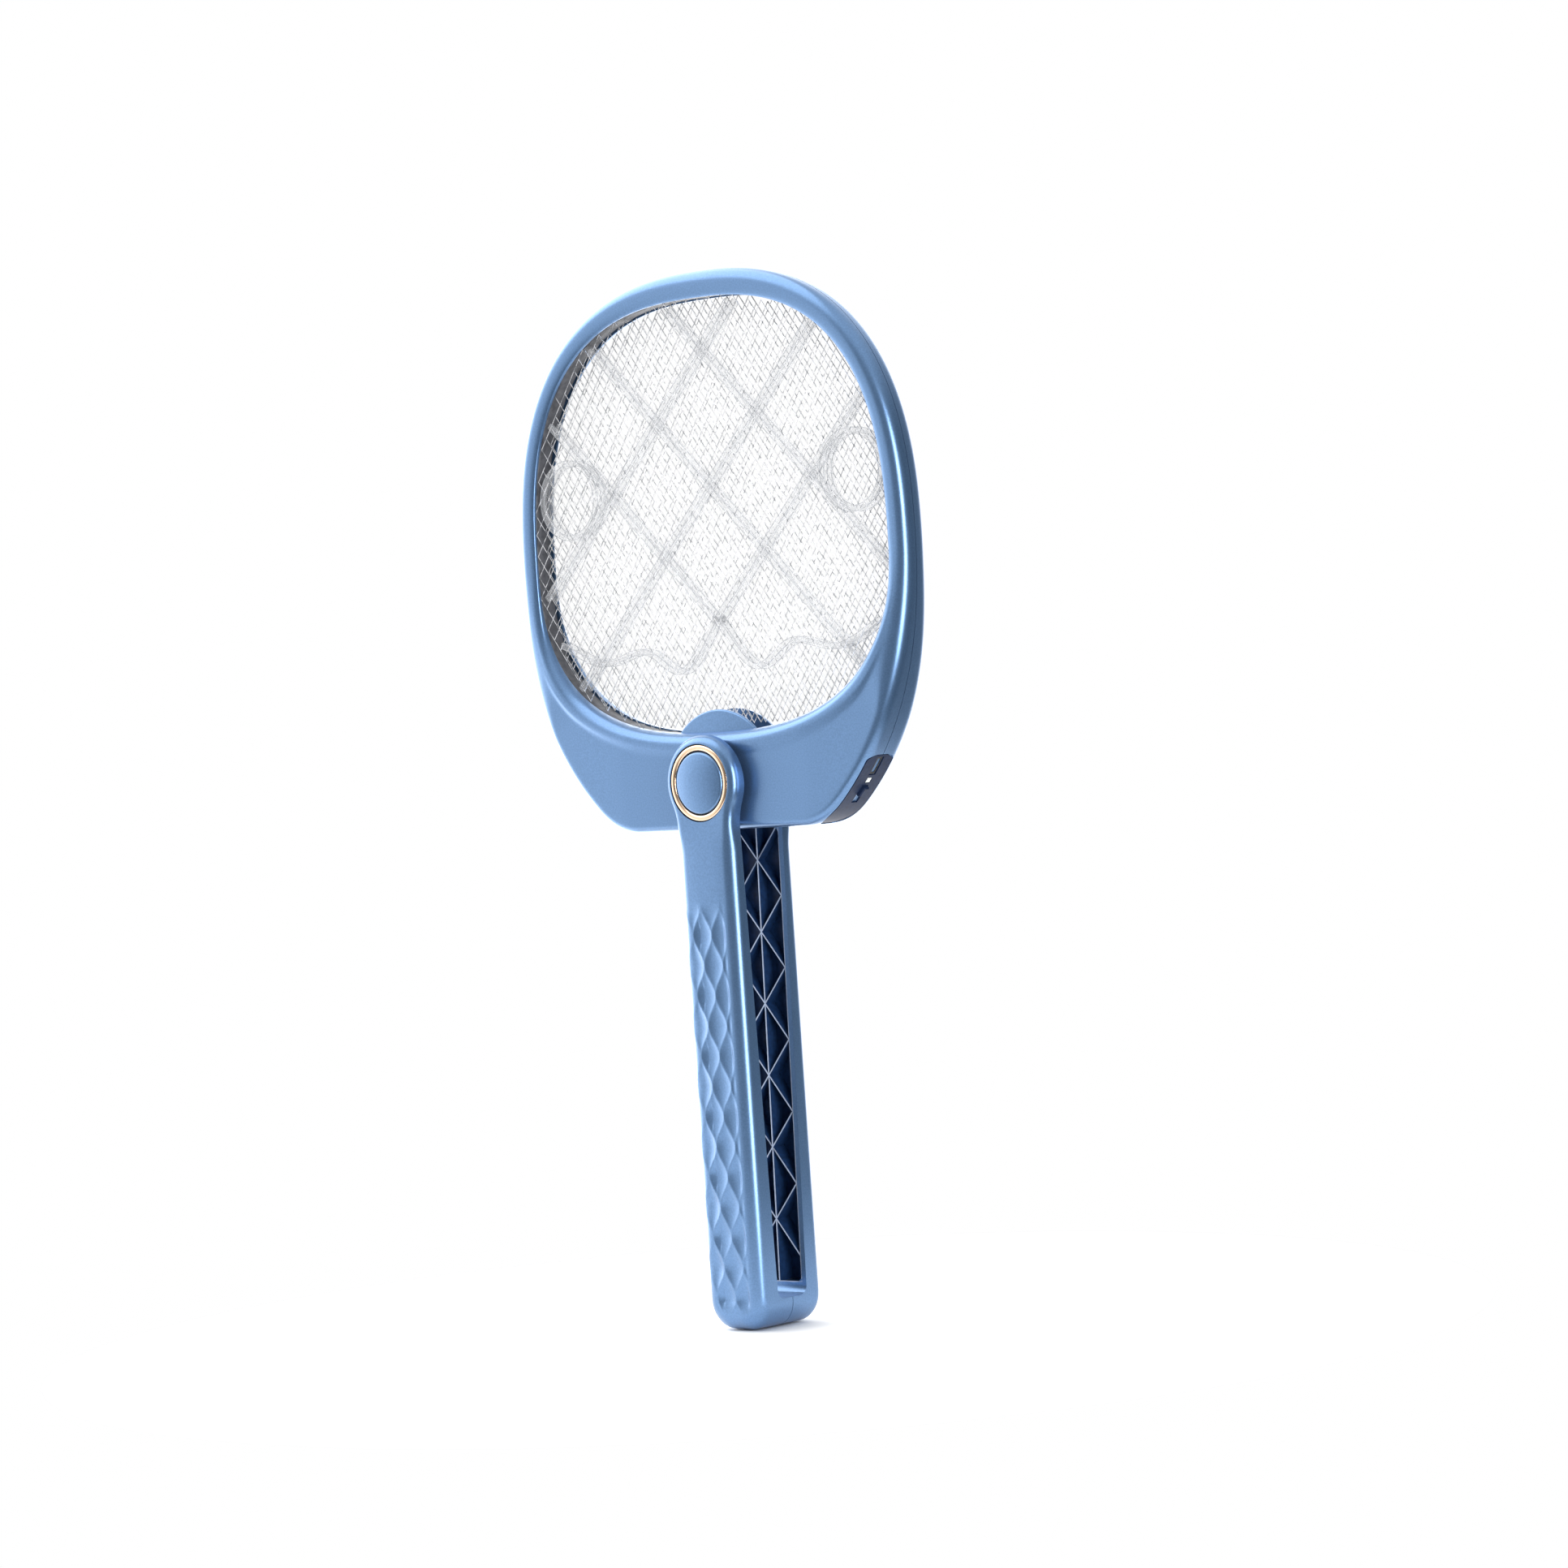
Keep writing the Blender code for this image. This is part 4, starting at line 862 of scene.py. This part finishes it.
def arm_outline_right():
    """Right half of the arm's front view, top down; each point comes with its height on the middle line."""
    radius, half = BOSS_RADIUS, ARM_HALF_WIDTH
    fillet = 30.0
    centre_x = half + fillet
    drop = sqrt((radius + fillet) ** 2 - centre_x ** 2)
    meet = atan2(drop, centre_x)
    points = []
    for k in range(31):
        a = pi / 2 - (pi / 2 + meet) * k / 30
        points.append((Vector((radius * cos(a), PIVOT + radius * sin(a))), PIVOT))
    touch = points[-1][0]
    neck_end = PIVOT - drop
    for k in range(1, 13):
        a = meet * (1 - k / 12)
        p = Vector((centre_x - fillet * cos(a), neck_end + fillet * sin(a)))
        share = (touch.y - p.y) / (touch.y - neck_end)
        points.append((p, PIVOT + (neck_end - PIVOT) * share))
    corner = 11.5
    foot_centre = corner + 1.5
    count = 230
    for k in range(1, count + 1):
        z = neck_end + (corner - neck_end) * k / count
        points.append((Vector((half, z)), neck_end + (foot_centre - neck_end) * k / count))
    for k in range(1, 15):
        a = -pi / 2 * k / 14
        points.append((Vector((half - corner + corner * cos(a), corner + corner * sin(a))), foot_centre))
    for k in range(1, 4):
        points.append((Vector(((half - corner) * (1 - k / 3), 0.0)), foot_centre))
    return points


def facet_depth(along, z):
    """How deep the grip is pressed in: lens-shaped dishes in staggered columns, fading at the ends."""
    fade = smoothstep((192.0 - z) / 12.0) * smoothstep((z - 7.0) / 7.0) * smoothstep((10.4 - along) / 2.4)
    if fade <= 0:
        return 0.0
    wave = cos(2 * pi * (z - DISH_PHASE) / DISH_PERIOD)
    column = (along + DISH_START) / DISH_COLUMN
    first = int(column + 100) - 100
    for j in range(max(0, first - 1), first + 2):
        swing = 0.5 * wave * (1 if j % 2 == 0 else -1)
        left, right = j - swing, j + 1 + swing
        if left <= column < right:
            share = (column - left) / (right - left)
            depth = 1.35 if along < -6 else 1.0
            return depth * fade * 4 * share * (1 - share) * ((right - left) / 2) ** 1.2
    return 0.0


def arm_solid():
    """Front arm before its slot is cut: crowned face, rounded edges, a dished grip, flat parting plane."""
    near = [0.0, 0.12, 0.3, 0.55, 0.85, 1.2, 1.6, 2.1, 2.7, 3.4, 4.2, 5.0, 5.8]
    middle_steps = 30

    def surface(outer, target, inset, mirror):
        span = (target - outer).length
        p = outer.lerp(target, min(1.0, inset / span))
        boss = smoothstep((outer.y - PIVOT + 32.0) / 14.0)
        foot = smoothstep((15.0 - outer.y) / 14.0)
        edge = 5.4 * (1 - boss) + 4.0 * boss
        edge += (7.6 - edge) * foot
        lean = asin(min(1.0, max(0.0, (edge - inset) / edge)))
        fall = edge * (1 - cos(lean))
        crown = 0.9 * abs(p.x / ARM_HALF_WIDTH) ** 2.5 * (1 - boss)
        along = mirror * p.x if inset >= edge else mirror * (ARM_HALF_WIDTH - edge + edge * lean)
        pressed = facet_depth(along, p.y) * (1 - boss)
        x = mirror * p.x - mirror * pressed * sin(lean)
        return Vector((x, -HANDLE_DEPTH + 0.03 + fall + crown * cos(lean) + pressed * cos(lean), p.y))

    bm = bmesh.new()
    for mirror in (1, -1):
        rows = []
        for outer, target_z in arm_outline_right():
            target = Vector((0.0, target_z))
            span = (target - outer).length
            insets = near + [near[-1] + (span - near[-1]) * k / middle_steps
                             for k in range(1, middle_steps + 1)]
            row = [surface(outer, target, inset, mirror) for inset in insets]
            rows.append([Vector((row[0].x, -HALF_GAP, row[0].z))] + row)
        made = [[bm.verts.new(p) for p in row] for row in rows]
        for upper, lower in zip(made, made[1:]):
            for k in range(len(upper) - 1):
                bm.faces.new([upper[k], upper[k + 1], lower[k + 1], lower[k]])
    bmesh.ops.remove_doubles(bm, verts=bm.verts, dist=0.001)
    rim = [e for e in bm.edges if e.is_boundary]
    bmesh.ops.contextual_create(bm, geom=rim)
    return bm


def slot_half(z):
    """Half the gap between the arms at a height."""
    return SLOT_HALF - SLOT_TAPER * (PIVOT - z)


def slot_cutter():
    """The gap between the arms, tapered towards the foot, with rounded lower corners."""
    corner = 4.0
    low_half = slot_half(SLOT_BOTTOM + corner)
    outline = [(-low_half + corner - corner * cos(a), SLOT_BOTTOM + corner - corner * sin(a))
               for a in (pi / 2 * k / 8 for k in range(9))]
    top = ARM_HIGH.z + 5
    outline = [(-slot_half(top), top)] + outline + [(2.0, SLOT_BOTTOM), (2.0, top)]
    return side_prism(outline, -30.0, 30.0)


def pocket_cutter():
    """Long pocket in an arm's inner face, with round ends."""
    corner = 3.0
    side, low, high = POCKET_HALF_WIDTH - corner, SLOT_BOTTOM + POCKET_RISE + corner, POCKET_TOP - corner
    outline = []
    for quarter, (cx, cz) in enumerate(((side, high), (-side, high), (-side, low), (side, low))):
        turns = [pi / 2 * (quarter + k / 5) for k in range(6)]
        outline += [(cx + corner * cos(turn), cz + corner * sin(turn)) for turn in turns]
    return prism(outline, -POCKET_FLOOR, 5.0)


def recess_cutter(radius, floor):
    """Round recess in an arm's outer face, with the shaft's hole through its floor."""
    return turned([(0, -40.0), (radius, -40.0), (radius, -floor), (SHAFT_HOLE, -floor),
                   (SHAFT_HOLE, 2.0), (0, 2.0)])


def make_arms(looks):
    """Both arms, each with its slot, its ribbed pocket and the recess at the pivot."""
    for name, recess in (("front", RING_RECESS), ("rear", NUT_RECESS)):
        body = combine(arm_solid(), [slot_cutter(), pocket_cutter(), recess_cutter(*recess)], "DIFFERENCE")
        shade_lining, webs = painted_shade_sheet(), bars(rib_lines(), 0.6, 0.65, None)
        # The light bars on the ribs' outer edges and the beads round the pocket's mouth are painted
        # highlights.
        edges = bars(rib_lines(), 0.42, 0.3, 0.65)
        add(edges, slot_painted_highlights())
        if name == "rear":
            body, shade_lining, webs, edges = (mirrored(bm) for bm in (body, shade_lining, webs, edges))
            body = combine(body, screw_holes("handle_screw", 0.3, 1.2), "DIFFERENCE")
        piece = store(body, f"{name}_arm", looks["blue"], "handle", 32.0)
        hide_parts(f"handle_{name}_arm")
        # The pocket's dark sheet and its ribs carry painted shade, the shade inside the pocket.
        store(shade_lining, f"{name}_arm_shade_sheet", looks["navy"], "handle")
        store(webs, f"{name}_arm_ribs", looks["navy"], "handle")
        store(edges, f"{name}_arm_painted_highlights", looks["highlight_blue"], "handle")


def painted_shade_sheet():
    """Thin dark sheet over the floor and walls of a pocket: painted shade, the shade that falls inside the
    pocket.
    """
    gap, sheet = 0.05, 0.25
    half, low, high = POCKET_HALF_WIDTH - gap, SLOT_BOTTOM + POCKET_RISE + gap, POCKET_TOP - gap
    floor = -POCKET_FLOOR + gap
    rings = []
    for k in range(61):
        z = low + (high - low) * k / 60
        mouth = -slot_half(z) - sheet
        rings.append([(-half, mouth, z), (-half, floor, z), (half, floor, z), (half, mouth, z),
                      (half - sheet, mouth, z), (half - sheet, floor + sheet, z),
                      (-half + sheet, floor + sheet, z), (-half + sheet, mouth, z)])
    return rings_to_mesh(rings, closed=False)


def rib_ends():
    """Heights between which a pocket's ribs and beads run."""
    return SLOT_BOTTOM + POCKET_RISE + 0.2, POCKET_TOP - 0.2


def rib_lines():
    """Centre lines of the ribs in a pocket: one down the middle, and crosses at an even pitch."""
    half, pitch, top_node = 13.3, 32.1, 206.5
    low, high = rib_ends()
    lines = [(Vector((0.0, low)), Vector((0.0, high)))]
    for node in range(8):
        z = top_node - node * pitch
        for sx in (1, -1):
            for sz in (1, -1):
                start, end = Vector((0.0, z)), Vector((sx * half, z + sz * pitch / 2))
                for limit, outside in ((low, end.y < low), (high, end.y > high)):
                    if outside:
                        end = start.lerp(end, max(0.0, (limit - start.y) / (end.y - start.y)))
                if low < start.y < high and (end - start).length > 1:
                    lines.append((start, end))
    return lines


def bars(lines, width, level_out, level_in):
    """Straight bars along lines, between two levels from the slot's face; None is the pocket's floor."""
    whole = bmesh.new()
    for a, b in lines:
        side = (b - a).normalized()
        side = Vector((-side.y, side.x)) * width / 2
        rings = []
        for p in (a, b):
            out = -slot_half(p.y) - level_out
            deep = -POCKET_FLOOR + 0.2 if level_in is None else -slot_half(p.y) - level_in
            rings.append([(p.x + side.x, deep, p.y + side.y), (p.x + side.x, out, p.y + side.y),
                          (p.x - side.x, out, p.y - side.y), (p.x - side.x, deep, p.y - side.y)])
        add(whole, rings_to_mesh(rings, closed=False))
    return whole


def slot_painted_highlights():
    """Thin light beads along the sides and the foot of a pocket's mouth: a painted highlight on the mouth's
    edge.
    """
    low, high = rib_ends()
    half = POCKET_HALF_WIDTH + 0.15
    lines = [(Vector((x, low)), Vector((x, high))) for x in (half, -half)]
    lines.append((Vector((-half, low)), Vector((half, low))))
    return bars(lines, 0.42, 0.0, 0.5)


# ---------------------------------------------------------------- button and fasteners

def make_button(looks):
    """Domed button, the ring round it and the dark seat under the ring."""
    face = -HANDLE_DEPTH
    edge, crown = BUTTON_LOW.y + 2.4, BUTTON_LOW.y + 0.02
    radius = BUTTON_HIGH.x - 0.02
    dome = [(radius * k / 24, edge - 0.7 - (edge - 0.7 - crown) * (1 - (k / 24) ** 2)) for k in range(24)]
    skirt, wall, roof = edge + 1.8, radius - 1.2, edge + 0.8
    profile = dome + [(radius, edge), (radius, skirt), (wall, skirt), (wall, roof), (0, roof)]
    piece = store(turned(profile), "button_cap", looks["blue"], "button", 50.0)
    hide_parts("push_button")
    inner, outer = RING_HIGH.x - 2.7, RING_HIGH.x
    half, middle = (outer - inner) / 2, (outer + inner) / 2
    top = RING_LOW.y + 0.02
    section = [(middle - half * cos(a), top + 0.9 * (1 - sin(a))) for a in (pi * k / 14 for k in range(15))]
    section += [(outer, top + 2.4), (inner, top + 2.4)]
    piece = store(turned(section), "trim_ring", looks["gold"], "handle", 50.0)
    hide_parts("button_trim_ring")
    start, high, low = radius + 0.02, face + 1.6, face + 2.2
    seat = turned([(start, high), (RING_SEAT, high), (RING_SEAT, low), (start, low)])
    store(seat, "ring_seat", looks["seam"], "handle")


def make_screws(looks):
    """Cross-recessed screws over the plain ones."""
    for name in frame["nodes"]:
        if not name.startswith(("head_screw", "handle_screw")):
            continue
        low, high = corners(name)
        x, z, top = (low.x + high.x) / 2, (low.z + high.z) / 2, high.y
        head = (high.x - low.x) / 2
        rise = 0.9 if name.startswith("head") else 1.2
        dome = [(head * sin(a), top - 0.35 * (1 - cos(a))) for a in (pi / 2 * k / 8 for k in range(9))]
        shank = [(head, top - rise), (head / 2, top - rise), (head / 2, low.y), (0, low.y)]
        body = turned(dome + shank, (x, z), 40)
        slots = []
        for turn in (radians(25), radians(115)):
            spin = Matrix.Translation((x, 0, z)) @ Matrix.Rotation(turn, 4, "Y")
            reach, half = head * 0.62, head * 0.12
            slots.append(block((-reach, top - 0.6, -half), (reach, top + 1, half), spin))
        body = combine(body, slots, "DIFFERENCE")
        on = "head" if name.startswith("head") else "handle"
        piece = store(body, name.replace("screw", "fastener"), looks["steel"], on, 30.0)
        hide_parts(name)


def dress(looks):
    """Procedural materials for the solids that stay as they are."""
    chosen = {
        "pivot_rear_cap": "blue", "pivot_shaft": "steel", "pivot_nut": "steel", "pivot_washer_front": "nylon",
        "pivot_washer_rear": "nylon", "button_spring": "steel", "button_circuit_board": "board",
        "push_switch": "black", "grid_terminal_front": "brass", "grid_terminal_middle": "brass",
        "grid_terminal_rear": "brass",
        "circuit_board": "board", "step_up_transformer": "tape", "high_voltage_capacitor": "red",
        "storage_capacitor": "red", "battery_cell": "sleeve", "battery_contact_inner": "steel",
        # The switch knob takes the side panel's near-black colour, painted shade.
        "battery_contact_outer": "steel", "mode_switch_body": "black", "mode_switch_knob": "panel",
        "indicator_light": "lens", "charging_socket": "black",
    }
    for name, look in chosen.items():
        for slot in frame["nodes"][name].material_slots:
            slot.material = looks[look]


def main():
    looks = make_looks()
    camera()
    studio()
    make_head(looks)
    make_meshes(looks)
    make_lattices(looks)
    make_arms(looks)
    make_button(looks)
    make_screws(looks)
    dress(looks)


main()
